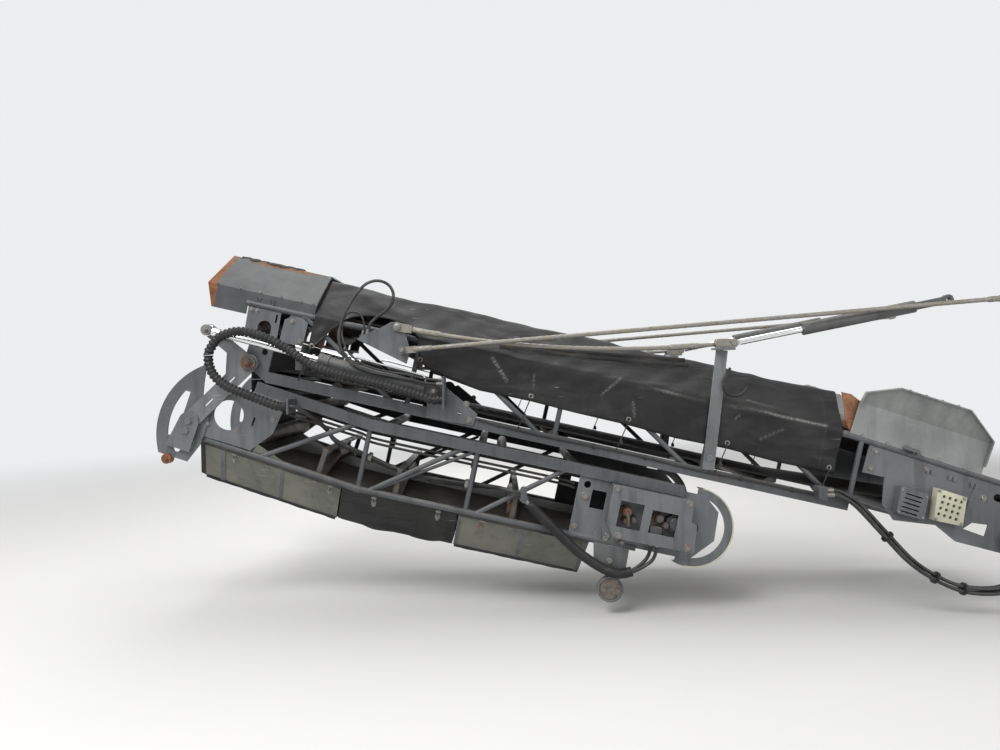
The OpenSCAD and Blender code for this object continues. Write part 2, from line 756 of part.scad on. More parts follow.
// Slopes at which the carrying and the returning belt meet the tail drum along its tangents
carry_slope = -atan2(carry_run.y, carry_run.x) - asin(tail_wrap_r / norm(carry_run));
return_slope = 180 - atan2(return_run.y, return_run.x) + asin(tail_wrap_r / norm(return_run));

module belt_base() {
    mid_z = base_pt(0, -110).y;
    sheet_x = base_roller_at.x - wrap_r;
    color("black") belt_strip(concat(
        [station([sheet_x, mid_z], -90, 0), station([sheet_x, base_roller_at.y - 40], -90, 0)],
        around(base_roller_at, wrap_r, -90, incline, 10),
        [station(base_pt(300, carry_t), incline, belt_rise),
         station(base_pt(base_len - 150, carry_t), incline, belt_rise),
         station(base_pt(base_len, carry_t), incline + knee_bend / 2, belt_rise),
         station(tail_pt(-tail_len + 150, rail_lift - belt_sink), tail_slope, belt_rise),
         station(last_trough, tail_slope, belt_rise)],
        around(tail_drum_at, tail_wrap_r, carry_slope, return_slope, 18),
        [station(base_pt(base_len - 100, return_t), 180 + incline, 0),
         station(base_pt(330, return_t), 180 + incline, 0),
         station(base_pt(150, return_t - 14), 180 + incline - 20, 0),
         station(base_pt(78, return_t - 62), 90 + incline, 0),
         station(base_pt(62, -125), 90, 0)]));
}

front_roller_at = front_pt(front_roller_s, front_carry_t + belt_t / 2 + fold_roller_r);
drive_drum_at = head_pt(head_len, drum_t);

module belt_front() {
    sheet_x = base_roller_at.x - wrap_r;
    mid_z = base_pt(0, -116).y;
    color("black") belt_strip(concat(
        [station(base_pt(64, -134), 90, 0),
         station(front_pt(360, front_return_t + 18), 60, 0),
         station(front_pt(420, front_return_t + 2), front_slope + 10, 0),
         station(front_pt(600, front_return_t), front_slope, 0),
         station(front_pt(front_knee_s, front_return_t), front_slope - front_bend / 2, 0)],
        around(drive_drum_at, drum_r + belt_t / 2 + wrap_gap, head_slope, head_slope + 180, 18),
        [station(head_pt(1700, head_carry_t), head_slope + 180, belt_rise),
         station(head_pt(100, head_carry_t), head_slope + 180, belt_rise),
         station(front_pt(front_knee_s - 60, front_carry_t), front_slope + 180, belt_rise),
         station(front_pt(800, front_carry_t), front_slope + 180, belt_rise)],
        around(front_roller_at, wrap_r, front_slope + 180, 270, 8),
        [station([sheet_x, mid_z], 270, 0)]));
}

/* Receiving end */

lug_in = half_w - plate_t / 2;

module receiving_outline() {
    difference() {
        union() {
            polygon([tail_pt(-1109, rail_lift), tail_pt(-1100, 141), tail_pt(-949, 154), tail_pt(-907, -22),
                     tail_pt(-804, -102), tail_pt(-526, -48), tail_pt(-364, -112), tail_pt(-60, -pivot_lug_r),
                     tail_pt(0, -pivot_lug_r), tail_pt(pivot_lug_r, 0), tail_pt(150, 200), tail_pt(150, rail_lift - 60),
                     tail_pt(tail_rail_end, rail_lift)]);
            circle(r = pivot_lug_r);
        }
        circle(d = pivot_d);
        polygon([tail_pt(-345, -15), tail_pt(-300, 40), tail_pt(-190, 60), tail_pt(-190, -20)]);
        link(tail_pt(tail_drum_s - 130, tail_drum_lift), tail_pt(tail_drum_s + 60, tail_drum_lift),
             tail_shaft_d + 2 * fit_gap);
    }
}

module receiving_plates() {
    color("gray") both_sides() difference() {
        union() {
            across(lug_in, lug_in + plate_t) receiving_outline();
            across(lug_in + plate_t, lug_in + pivot_lug_t) difference() {
                circle(r = pivot_lug_r);
                circle(d = pivot_d);
            }
            across(lug_in + plate_t, lug_in + plate_t + 8)
                strip(tail_pt(-345, 290), tail_pt(-365, 90), 20);
        }
        base_rail_bar(half_w);
        base_chord_bar();
    }
}

hopper_start = -1260;
hopper_fold = 0.6;

function hopper_wall(side) = [
    [side * (half_w + 6), rail_lift],
    [side * (half_w + 6), rail_lift + hopper_h * hopper_fold],
    [side * (half_w + hopper_flare), rail_lift + hopper_h],
    [side * (half_w + hopper_flare + 22), rail_lift + hopper_h]];

module hopper() {
    color("slategray") {
        difference() {
            on_tail(hopper_start, hopper_start + hopper_len) {
                folded_sheet(hopper_wall(1), wall);
                folded_sheet(hopper_wall(-1), wall);
            }
            across(-frame_w, frame_w) polygon([tail_pt(hopper_start - 10, rail_lift + hopper_h + 20),
                tail_pt(hopper_start - 10, rail_lift + 300), tail_pt(hopper_start + 230, rail_lift + hopper_h + 20)]);
            across(-frame_w, frame_w) polygon([tail_pt(hopper_start + hopper_len - 290, rail_lift + hopper_h + 20),
                tail_pt(hopper_start + hopper_len + 10, rail_lift + 240), tail_pt(hopper_start + hopper_len + 10, rail_lift + hopper_h + 20)]);
            both_sides() base_rail_bar(half_w);
            both_sides() across(0, frame_w) polygon([tail_pt(-tail_len - 100, rail_lift - 20), tail_pt(tail_rail_end, rail_lift - 20),
                tail_pt(tail_rail_end, rail_lift + 8), tail_pt(-tail_len - 100, rail_lift + 8)]);
        }
        across(-half_w - 2, half_w + 2) strip(tail_pt(hopper_start + hopper_len - 6, rail_lift + 60),
            tail_pt(hopper_start + hopper_len + 14, rail_lift + 250), wall);
    }
}

module hopper_skirts() {
    color("saddlebrown") both_sides() {
        across(half_w - 30, half_w - 22) polygon([tail_pt(-1290, rail_lift + 60), tail_pt(-420, rail_lift + 60),
            tail_pt(-420, rail_lift + 190), tail_pt(-1190, rail_lift + 190), tail_pt(-1290, rail_lift + 150)]);
        for (s = [-1150, -800, -480]) across(half_w - 22, half_w + 2)
            translate(tail_pt(s, rail_lift + 120)) circle(d = 24);
    }
}

module vent_box() {
    color("gray") across(-lug_in - plate_t - 52, -lug_in - plate_t) difference() {
        polygon([tail_pt(-850, 130), tail_pt(-660, 130), tail_pt(-640, -40), tail_pt(-830, -50)]);
        for (i = [0 : 4]) strip(tail_pt(-810, 95 - i * 30), tail_pt(-690, 95 - i * 30), 10);
    }
}

module perforated_box() {
    color("khaki") across(-lug_in - plate_t - 60, -lug_in - plate_t) difference() {
        polygon([tail_pt(-620, 190), tail_pt(-420, 190), tail_pt(-390, 0), tail_pt(-585, -20)]);
        for (i = [0 : 3], j = [0 : 3]) translate(tail_pt(-565 + i * 40, 150 - j * 40)) circle(d = 22);
    }
}

/* Hoses */

hose_d = 24;

// A tube swept along a list of points, sides corners round
module swept(points, d, sides) {
    n = len(points);
    dirs = [for (i = [0 : n - 1]) let (v = points[min(i + 1, n - 1)] - points[max(i - 1, 0)]) v / norm(v)];
    rings = [for (i = [0 : n - 1]) let (
            w = dirs[i],
            side = cross([0, 1, 0.01], w),
            u = side / norm(side),
            v = cross(w, u))
        each [for (k = [0 : sides - 1]) points[i] + (u * cos(360 * k / sides) + v * sin(360 * k / sides)) * d / 2]];
    skin = [for (j = [0 : n - 2], i = [0 : sides - 1])
        let (a = j * sides + i, b = j * sides + (i + 1) % sides) [a, a + sides, b + sides, b]];
    first = [for (i = [0 : sides - 1]) i];
    last = [for (i = [sides - 1 : -1 : 0]) (n - 1) * sides + i];
    polyhedron(points = rings, faces = concat(skin, [first, last]));
}

// Smooth curve through chosen points, a few steps between each two
function curve_at(p0, p1, p2, p3, t) =
    0.5 * (2 * p1 + (p2 - p0) * t + (2 * p0 - 5 * p1 + 4 * p2 - p3) * t * t + (3 * p1 - p0 - 3 * p2 + p3) * t * t * t);
function smooth_path(pts, steps) = let (n = len(pts)) concat(
    [for (i = [0 : n - 2], k = [0 : steps - 1])
        curve_at(pts[max(i - 1, 0)], pts[i], pts[i + 1], pts[min(i + 2, n - 1)], k / steps)],
    [pts[n - 1]]);

// Points along the lowest pair of hoses' partners: x, z and the direction in which the outer pair lies
feed_route = [[-1290, 360, 0, -1], [-1262, 360, 0, -1], [-1234, 360, 0, -1], [-1170, 342, -0.2, -1], [-1060, 270, -0.6, -0.8], [-900, 100, -0.7, -0.7],
              [-720, -90, -0.7, -0.7], [-560, -200, -0.5, -0.9], [-380, -275, -0.2, -1], [-180, -290, 0.1, -1],
              [0, -245, 0.5, -0.9], [88, -200, 0.9, -0.4], [110, -160, 1, 0], [110, -135, 1, 0],
              [110, -110, 1, 0]];
feed_y = [for (out = [25, 55, 40, 70]) -chord_face - out];
feed_out = [0, 0, 28, 28];

module feed_hose(i) {
    color("black") swept(smooth_path([for (p = feed_route)
        [p[0] + feed_out[i] * p[2], feed_y[i], p[1] + feed_out[i] * p[3]]], 3), hose_d, 8);
}

module feed_hose_1() { feed_hose(0); }
module feed_hose_2() { feed_hose(1); }
module feed_hose_3() { feed_hose(2); }
module feed_hose_4() { feed_hose(3); }

hose_block_out = chord_face + 95;

// Loops from the clamp at the cylinder's foot, up over the cover, to the block behind the stay bracket
cylinder_hose_d = [20, 14];
loop_route = [[-3800, -806, 1062], [-3830, -806, 1062], [-3860, -806, 1062], [-3930, -806, 1069], [-4034, -806, 1094],
              [-4230, -806, 1128], [-4370, -806, 1180], [-4450, -804, 1268], [-4478, -800, 1365], [-4460, -790, 1470],
              [-4418, -780, 1570], [-4366, -770, 1652], [-4308, -761, 1715], [-4236, -752, 1738], [-4168, -743, 1716],
              [-4133, -736, 1658], [-4143, -729, 1592], [-4188, -720, 1541], [-4243, -710, 1503], [-4284, -703, 1466],
              [-4301.8, -702, 1434.7], [-4308.2, -702, 1405.4], [-4314.6, -702, 1376.6]];
short_route = [[-3800, -806, 1090], [-3830, -806, 1090], [-3860, -806, 1090], [-3930, -806, 1097], [-4034, -806, 1122],
               [-4210, -806, 1152], [-4340, -806, 1202], [-4422, -804, 1280], [-4456, -792, 1365], [-4463, -774, 1420],
               [-4461, -762, 1468], [-4442, -750, 1514], [-4396, -738, 1534], [-4350, -724, 1514], [-4332, -710, 1470],
               [-4331.5, -702, 1433.1], [-4337.1, -702, 1407.7], [-4342.7, -702, 1382.8]];

module cylinder_hose_1() {
    color("black") swept(smooth_path(loop_route, 2), cylinder_hose_d[0], 8);
}

module cylinder_hose_2() {
    color("black") swept(smooth_path(short_route, 2), cylinder_hose_d[1], 8);
}

// Lower corner of the clamp at the fold cylinder's foot, which holds the sleeve and two hoses
foot_clamp = barrel_at + [63.1, -107.4];

// The block on the chord that the feed hoses come out of, the clamp, and the block behind the stay bracket
module hose_clamps() {
    color("dimgray") {
        across(-hose_block_out, -chord_face) polygon([[-1345, 310], [-1290, 297], [-1290, 385], [-1345, 385]]);
        across(sleeve_y - sleeve_d / 2 - 6, -chord_face - 15) translate(foot_clamp) square([12, 205]);
        across(-stay_y + stay_plate_t / 2, -half_w - 35)
            polygon([stay_pt(-236, 298), stay_pt(-178, 298), stay_pt(-178, 338), stay_pt(-236, 338)]);
    }
}

// The hoses' block beside the pivot, on the outside of the receiving plate
module hose_coupler() {
    color("silver") across(-hose_block_out, -lug_in - plate_t)
        polygon([[112, 70], [150, 70], [165, -50], [165, -110], [85, -110], [100, -60], [118, 10]]);
}

sleeve_d = 64;
sleeve_y = -(cyl_y + fold_barrel_d / 2 + 12 + sleeve_d / 2);
sleeve_route = [[-3800, 960], [-3830, 960], [-3862, 960], [-3960, 992], [-4160, 1050], [-4400, 1105], [-4620, 1170], [-4810, 1290], [-4970, 1370],
                [-5120, 1400], [-5245, 1360], [-5306, 1275], [-5312, 1250]];
sleeve_front_route = [[-5312, 1244], [-5306, 1180], [-5270, 1110], [-5190, 1045], [-5060, 990], [-4930, 940],
                      [-4862, 916], [-4831, 916], [-4800, 916]];

module hose_sleeve_base() {
    color("black") swept(smooth_path([for (p = sleeve_route) [p.x, sleeve_y, p.y]], 4), sleeve_d, 10);
}

module hose_sleeve_front() {
    color("black") swept(smooth_path([for (p = sleeve_front_route) [p.x, sleeve_y, p.y]], 4), sleeve_d, 10);
}

/* Front section */

front_rail_start = 93;
front_chord_start = 335;
head_rail_end = 1900;
head_chord_end = 2140;
front_rail_knee = head_pt(0, head_rail_t);

module front_rail_bar(y) {
    bent_rail(front_pt(front_rail_start, -front_rail_drop), front_rail_knee, head_pt(head_rail_end, head_rail_t),
              (front_slope + head_slope) / 2, y);
}

module front_rails() {
    color("dimgray") both_sides() front_rail_bar(half_w);
}

module front_chord_bar() {
    across(chord_in, chord_face)
        folded_sheet([front_pt(front_chord_start, front_chord_rise), front_knee, head_pt(head_chord_end, 0)], chord_h);
}

module front_chords() {
    color("dimgray") both_sides() front_chord_bar();
}

module front_posts() {
    color("dimgray") both_sides() difference() {
        union() {
            tube(front_pt(422, -front_rail_drop), front_pt(422, front_chord_rise), half_w, brace_d);
            for (i = [0 : 1]) tube(head_pt(i * front_bay, head_rail_t), head_pt(i * front_bay, 0), half_w, brace_d);
        }
        front_rail_bar(half_w);
        front_chord_bar();
    }
}

module front_diagonals() {
    color("dimgray") both_sides() difference() {
        union() {
            tube(front_pt(500, -front_rail_drop), front_pt(front_knee_s - 60, front_chord_rise), half_w, brace_d);
            tube(head_pt(70, head_rail_t), head_pt(front_bay - 60, 0), half_w, brace_d);
            tube(head_pt(front_bay + 70, head_rail_t), head_pt(2 * front_bay - 100, 0), half_w, brace_d);
        }
        front_rail_bar(half_w);
        front_chord_bar();
    }
}

module front_crossmembers() {
    color("dimgray") {
        // the plate that holds the front end of the hose sleeve
        across(sleeve_y - sleeve_d / 2 - 6, -chord_face)
            polygon([[-4800, 868], [-4788, 868], [-4788, 964], [-4800, 964]]);
        cross_tube(front_pt(500, front_chord_rise), cross_d, -chord_in, chord_in);
        for (i = [0 : 2]) cross_tube(head_pt(90 + i * front_bay * 0.9, 0), cross_d, -chord_in, chord_in);
    }
}

hinge_centre_s = 275;

module hinge_outline() {
    difference() {
        intersection() {
            translate(front_pt(hinge_centre_s, 0)) circle(r = hinge_plate_r, $fn = 96);
            polygon([front_pt(-240, -262), front_pt(60, -262), front_pt(110, -120), front_pt(110, 50), front_pt(60, 110),
                     front_pt(20, 200), front_pt(0, 290), front_pt(-20, 410), front_pt(-240, 410)]);
        }
        intersection() {
            translate(front_pt(hinge_centre_s, 0)) circle(r = hinge_plate_r - 75, $fn = 96);
            polygon([front_pt(-240, -130), front_pt(-100, -130), front_pt(-62, -30), front_pt(-62, 184), front_pt(-240, 184)]);
        }
    }
}

module hinge_plates() {
    color("gray") both_sides() {
        across(hinge_y, hinge_y + plate_t) difference() {
            hinge_outline();
            translate(front_pt(-30, -200)) circle(r = 22);
        }
        across(cheek_y, cheek_y + cheek_t) difference() {
            union() {
                translate(hinge_pin) circle(r = 66);
                polygon([front_pt(-66, 0), front_pt(66, 0), front_pt(66, -190), front_pt(-96, -190)]);
            }
        }
        across(hinge_y + plate_t, cheek_y) polygon([front_pt(66, -116), front_pt(66, -190), front_pt(-96, -190), front_pt(-86, -116)]);
        cross_tube(hinge_pin, pin_d, hinge_y + plate_t, cheek_y);
        for (t = [6, -60]) across(cheek_y + cheek_t, cheek_y + cheek_t + 14) translate(front_pt(0, t)) circle(r = 22, $fn = 6);
    }
}

module front_end_plates() {
    color("gray") both_sides() difference() {
        across(chord_face - plate_t, chord_face) difference() {
            polygon([front_pt(75, -70), front_pt(75, 60), front_pt(130, 230), front_pt(front_chord_start, front_chord_rise - chord_h / 2),
                     front_pt(560, front_chord_rise - chord_h / 2), front_pt(540, 90), front_pt(430, -60)]);
            translate(front_pt(223, 116)) circle(r = 100);
            link(front_pt(392, 100), front_pt(392, 150), 16);
        }
        front_rail_bar(half_w);
        front_chord_bar();
        front_posts();
        front_diagonals();
    }
}

// Stretches of the front section under stiff panels, and the two stretches of the sheet between them
first_panel = [125, 240];
second_panel = [262, front_knee_s - 59];
knee_sheet = [front_knee_s - 49, front_knee_s - 11];
head_sheet = [20, front_bay - 45];
head_panel = [front_bay - 35, 2 * front_bay + 120];

module front_panels() {
    color("darkslategray") {
        difference() {
            union() {
                on_front(first_panel[0], first_panel[1]) folded_sheet(front_cover(-front_rail_drop), sheet_t);
                on_front(second_panel[0], second_panel[1]) folded_sheet(front_cover(-front_rail_drop), sheet_t);
                on_head(head_panel[0], head_panel[1]) folded_sheet(front_cover(head_rail_t), sheet_t);
            }
            both_sides() front_rail_bar(half_w);
        }
    }
}

function front_cover(t0) = let (w = cover_top_w / 2)
    [[-half_w - 4, t0 - rail_d / 2 + 3], [-w, t0 - cover_h], [w, t0 - cover_h], [half_w + 4, t0 - rail_d / 2 + 3]];

module front_tarp() {
    color("black") difference() {
        union() {
            on_front(knee_sheet[0], knee_sheet[1]) folded_sheet(front_cover(-front_rail_drop), sheet_t);
            on_head(head_sheet[0], head_sheet[1]) folded_sheet(front_cover(head_rail_t), sheet_t);
        }
        both_sides() front_rail_bar(half_w);
    }
}

/* Head of the front section, with the drive */

bearing_d = 60;

module head_plates() {
    color("gray") both_sides() difference() {
        across(half_w - plate_t / 2, half_w + plate_t / 2) difference() {
            union() {
                polygon([head_pt(1440, 0), head_pt(head_len + 30, 0), head_pt(head_len + 140, -90),
                         head_pt(head_len + 150, drum_t - 60), head_pt(head_len + 10, head_rail_t),
                         head_pt(1440, head_rail_t)]);
            }
            translate(drive_drum_at) circle(d = bearing_d + 1);
            translate(head_pt(1500, -90)) circle(r = 24);
            polygon([head_pt(1540, -115), head_pt(1640, -115), head_pt(1640, -238), head_pt(1540, -238)]);
        }
        front_rail_bar(half_w);
        front_chord_bar();
    }
}

guard_d = 110;

// A point along from the drive drum's axis, and above the head's line
function drum_pt(s, t) = head_pt(head_len + s, t);

module motor_guard() {
    y0 = -half_w - plate_t / 2;
    color("gray") difference() {
        across(y0 - guard_d, y0)
            polygon([drum_pt(-601, -chord_h / 2 - 6), drum_pt(-66, -chord_h / 2 - 6), drum_pt(-56, -180), drum_pt(-16, -190),
                     drum_pt(1, -373), drum_pt(-531, -383), drum_pt(-596, -300)]);
        across(y0 - guard_d + 8, y0 + 1)
            polygon([drum_pt(-593, -chord_h / 2 - 14), drum_pt(-74, -chord_h / 2 - 14), drum_pt(-64, -188), drum_pt(-24, -198),
                     drum_pt(-8, -390), drum_pt(-527, -390), drum_pt(-588, -304)]);
        across(y0 - guard_d - 1, y0 - guard_d + 20) {
            polygon([drum_pt(-536, -131), drum_pt(-376, -131), drum_pt(-376, -307), drum_pt(-536, -307)]);
            polygon([drum_pt(-321, -150), drum_pt(-146, -150), drum_pt(-146, -303), drum_pt(-321, -303)]);
        }
    }
}

module drive_motor() {
    y0 = -half_w - plate_t / 2;
    color("dimgray") {
        across(y0 - 60, y0) translate(drum_pt(-146, drum_t + 6)) circle(r = 58);
        across(y0 - 92, y0) polygon([drum_pt(-300.6, -347.3), drum_pt(-226.3, -331.5), drum_pt(-231, -261), drum_pt(-309, -261)]);
        across(y0 - 96, y0 - 60) translate(drum_pt(-146, drum_t + 6)) circle(r = 40);
    }
}

module drive_drum() {
    color("black") drum(drive_drum_at, drum_r, belt_w / 2 + 20, bearing_d, -half_w, half_w + 24);
}

ring_out = 268;
ring_in = 208;

module ring_guards() {
    color("gray") both_sides() difference() {
        union() {
            across(half_w - 56, half_w - plate_t / 2) difference() {
                translate(drive_drum_at) circle(r = ring_out, $fn = 96);
                translate(drive_drum_at) circle(r = ring_out - 6, $fn = 96);
            }
            across(half_w - plate_t / 2 - 8, half_w - plate_t / 2) difference() {
                translate(drive_drum_at) circle(r = ring_out, $fn = 96);
                translate(drive_drum_at) circle(r = ring_in, $fn = 96);
            }
        }
        across(0, frame_w) polygon([head_pt(head_len - 20, 300), head_pt(head_len - 20, -150), head_pt(head_len - 110, -600),
                                    head_pt(head_len - 400, -600), head_pt(head_len - 400, 300)]);
        front_chord_bar();
        both_sides() front_crossmembers();
    }
}

module front_idlers() {
    color("darkgray") {
        idler_row(front_pt(900, front_carry_t + belt_t / 2 + roll_r + 1), front_slope, -1);
        for (i = [0 : 1]) idler_row(head_pt(250 + i * 800, head_carry_t + belt_t / 2 + roll_r + 1), head_slope, -1);
    }
}

module front_return_rolls() {
    color("darkgray") {
        return_roll(front_pt(700, front_return_t + belt_t / 2 + roll_r + 1));
        return_roll(head_pt(900, head_return_t + belt_t / 2 + roll_r + 1));
        end_roller(front_roller_at, half_w - brace_d / 2 - 0.3);
    }
}

drive_route = [[-3260, 290], [-3240, 270], [-3220, 250], [-3120, 150], [-2900, -60], [-2700, -180], [-2570, -180], [-2470, -110],
               [-2433, -36], [-2430, -10], [-2430, 15], [-2430, 40]];
drive_y = [for (out = [25, 55]) -chord_face - out];
drive_step = 32;

module drive_hose(i) {
    color("black") swept(smooth_path([for (k = [0 : len(drive_route) - 1])
        [drive_route[k].x + (k > 6 ? i * drive_step : 0), drive_y[i], drive_route[k].y]], 3), hose_d, 8);
}

// The clamp on a diagonal that the drive hoses come out of
module drive_hose_clamp() {
    y0 = -half_w - brace_d / 2 - 0.3;
    start = [drive_route[0].x, drive_route[0].y];
    color("dimgray") {
        across(-chord_face - 80, y0) link(start + [-14, 66], start + [-14, 24], 40);
        across(-chord_face - 80, y0) strip(start + [-28, 28], start, 44);
    }
}

module drive_hose_1() { drive_hose(0); }
module drive_hose_2() { drive_hose(1); }

lamp_r = 87;

module work_lamp() {
    p = head_pt(1786, -733);
    y0 = -half_w - plate_t / 2;
    color("gray") {
        difference() {
            across(y0 - 10, y0) polygon([head_pt(1600, -380), head_pt(1640, -350), head_pt(1670, -440), head_pt(1860, -450),
                                         head_pt(1865, -580), head_pt(1700, -640), head_pt(1640, -560)]);
            front_rail_bar(-half_w);
        }
        across(y0 - 10, y0 + 30) link(head_pt(1740, -580), p, 40);
        across(y0 - 34, y0 - 10) translate(p) circle(r = lamp_r);
    }
}

base_rails();
base_chords();
base_posts();
base_diagonals();
base_crossmembers();
base_end_plates();
fold_brackets();
cylinder_brackets();
stay_brackets();
rope_saddles();
upper_stays();
hood();
tarp_cover();
cover_bows();
base_idlers();
base_return_rolls();
belt_base();
tail_drum();
receiving_plates();
hopper();
hopper_skirts();
vent_box();
perforated_box();
hose_clamps();
hose_coupler();
feed_hose_1();
feed_hose_2();
feed_hose_3();
feed_hose_4();
cylinder_hose_1();
cylinder_hose_2();
hose_sleeve_base();
hose_sleeve_front();
fold_arms();
fold_barrels();
fold_rods();
lower_stays();
lift_rods();
lift_barrels();
front_rails();
front_chords();
front_posts();
front_diagonals();
front_crossmembers();
hinge_plates();
front_end_plates();
front_panels();
front_tarp();
head_plates();
motor_guard();
drive_motor();
drive_drum();
ring_guards();
front_idlers();
front_return_rolls();
belt_front();
drive_hose_clamp();
drive_hose_1();
drive_hose_2();
work_lamp();
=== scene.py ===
import json
import math

import bmesh
import bpy
import numpy as np
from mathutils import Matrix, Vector


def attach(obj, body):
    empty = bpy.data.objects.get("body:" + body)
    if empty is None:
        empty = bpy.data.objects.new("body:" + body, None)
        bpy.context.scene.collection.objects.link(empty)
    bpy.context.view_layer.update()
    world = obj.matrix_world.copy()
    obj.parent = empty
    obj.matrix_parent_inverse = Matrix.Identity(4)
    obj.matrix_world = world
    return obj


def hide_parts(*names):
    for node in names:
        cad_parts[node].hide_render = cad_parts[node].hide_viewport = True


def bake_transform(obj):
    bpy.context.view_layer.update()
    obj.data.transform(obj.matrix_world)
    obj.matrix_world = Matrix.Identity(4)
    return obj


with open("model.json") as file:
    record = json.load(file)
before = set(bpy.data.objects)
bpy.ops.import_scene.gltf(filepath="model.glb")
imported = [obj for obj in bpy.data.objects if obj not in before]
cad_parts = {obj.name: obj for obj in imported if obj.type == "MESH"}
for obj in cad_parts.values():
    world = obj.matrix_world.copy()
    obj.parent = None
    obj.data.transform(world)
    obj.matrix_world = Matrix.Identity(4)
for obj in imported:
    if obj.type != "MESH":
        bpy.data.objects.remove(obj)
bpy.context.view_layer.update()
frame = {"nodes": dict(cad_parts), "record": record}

print("stage: frame loaded,", len(frame["nodes"]), "nodes")

# Places are worked out in millimetres in the side view, as in the construction, and turned into metres last

# Slopes of the four straight parts in degrees, and where each one's own line starts
slopes = {"tail": 17.7, "base": 12.4, "front": 18.4, "head": 12.0}


def turned(point, angle):
    # a side-view point turned down to the right by an angle
    a = math.radians(angle)
    x, z = point
    return np.array([x * math.cos(a) + z * math.sin(a), z * math.cos(a) - x * math.sin(a)])


def spoke(length, angle):
    # the end of a lever, measured from its pin
    return length * np.array([math.cos(math.radians(angle)), math.sin(math.radians(angle))])


# fold arm and its lever on the fold pin, and the front part's length from the arm's end to its next slope
armEnd, leverEnd = spoke(554, 236.9), spoke(338, 153.1)
frontLong, frontRise = 1139, 352
starts = {"tail": np.array([0.0, 0.0])}
starts["base"] = turned((-1286, 350), slopes["tail"]) + turned((-3980, -388), slopes["base"])
starts["front"] = starts["base"] + turned(armEnd, slopes["base"])
starts["head"] = starts["front"] + turned((frontLong, frontRise), slopes["front"])


def side(line, along, above):
    # side-view point (x, z) at a distance along and above one part's own line
    return starts[line] + turned((along, above), slopes[line])


def place(line, along, above, y):
    # points in metres for arrays of along, above and y: start + along * direction + above * normal
    along, above, y = np.broadcast_arrays(*(np.asarray(v, float) for v in (along, above, y)))
    x, z = turned((along, above), slopes[line])
    return np.stack([x + starts[line][0], y, z + starts[line][1]], -1) / 1000


def sideToSpace(points, y):
    # side-view points (x, z) at one place across the width, in metres
    points = np.asarray(points, float)
    return np.stack([points[:, 0], np.broadcast_to(y, len(points)), points[:, 1]], -1) / 1000


def smoothPath(points, steps):
    # Catmull-Rom curve through the points, the same number of steps between each two
    p = np.asarray(points, float)
    before = np.vstack([p[:1], p[:-2]])
    after = np.vstack([p[2:], p[-1:]])
    k = np.arange(steps)[None, :, None] / steps
    p0, p1, p2, p3 = (q[:, None, :] for q in (before, p[:-1], p[1:], after))
    curve = 0.5 * (2 * p1 + (p2 - p0) * k + (2 * p0 - 5 * p1 + 4 * p2 - p3) * k ** 2
                   + (3 * p1 - p0 - 3 * p2 + p3) * k ** 3)
    return np.vstack([curve.reshape(-1, p.shape[1]), p[-1:]])


def runOf(path):
    # distance along the path from its start, for each point
    return np.concatenate([[0], np.cumsum(np.linalg.norm(np.diff(path, axis=0), axis=1))])


def evenly(path, step):
    # the same line with points at even distances along it
    run = runOf(path)
    at = np.linspace(0, run[-1], max(2, int(round(run[-1] / step)) + 1))
    return np.stack([np.interp(at, run, path[:, i]) for i in range(3)], -1)


def directions(path):
    ahead = np.vstack([path[1:], path[-1:]]) - np.vstack([path[:1], path[:-1]])
    return ahead / np.linalg.norm(ahead, axis=1)[:, None]


def roundSteps(count):
    return np.linspace(0, 2 * np.pi, count, endpoint=False)


def squareTo(axis):
    # an axis as a unit vector, and two directions at right angles to it and to each other
    axis = np.asarray(axis, float) / np.linalg.norm(axis)
    across = np.cross(axis, [0.0, 0.0, 1.0] if abs(axis[2]) < 0.9 else [1.0, 0.0, 0.0])
    across /= np.linalg.norm(across)
    return axis, across, np.cross(axis, across)


# Mesh building: a part is (points, list of face arrays), and a piece joins many parts


def gridFaces(rows, columns, closeRows=False, closeColumns=False):
    # four-cornered faces between neighbouring points of a grid, joined round where it closes
    i = np.arange(rows if closeRows else rows - 1)[:, None]
    j = np.arange(columns if closeColumns else columns - 1)[None, :]
    nextI, nextJ = (i + 1) % rows, (j + 1) % columns
    corners = [i * columns + j, i * columns + nextJ, nextI * columns + nextJ, nextI * columns + j]
    return np.stack(np.broadcast_arrays(*corners), -1).reshape(-1, 4)


def gridPart(points, closeRows=False, closeColumns=False):
    return points.reshape(-1, 3), [gridFaces(*points.shape[:2], closeRows, closeColumns)]


def cappedPart(points):
    # a skin over rings of points, with one face across the first ring and one across the last
    rows, columns = points.shape[:2]
    ring = np.arange(columns)[None, :]
    faces = [gridFaces(rows, columns, closeColumns=True), ring[:, ::-1], ring + (rows - 1) * columns]
    return points.reshape(-1, 3), faces


def tubePart(path, radius, sides=16, wave=None, twist=0.0):
    # each ring is centre + radius * (across * cos(angle) + up * sin(angle)), square to the path
    way = directions(path)
    lean = np.where(np.abs(way[:, 1:2]) > 0.9, np.array([[1.0, 0.0, 0.0]]), np.array([[0.0, 1.0, 0.0]]))
    across = np.cross(lean, way)
    across /= np.linalg.norm(across, axis=1)[:, None]
    up = np.cross(way, across)
    angle = roundSteps(sides)[None, :]
    r = np.full((len(path), sides), float(radius))
    if wave is not None:
        run = runOf(path)[:, None]
        r = r + wave(run, angle + twist * run)
    return cappedPart(path[:, None, :] + r[..., None] * (across[:, None, :] * np.cos(angle)[..., None]
                                                         + up[:, None, :] * np.sin(angle)[..., None]))


def smoothTube(points, steps, step, radius, sides):
    return tubePart(evenly(smoothPath(points, steps), step), radius, sides)


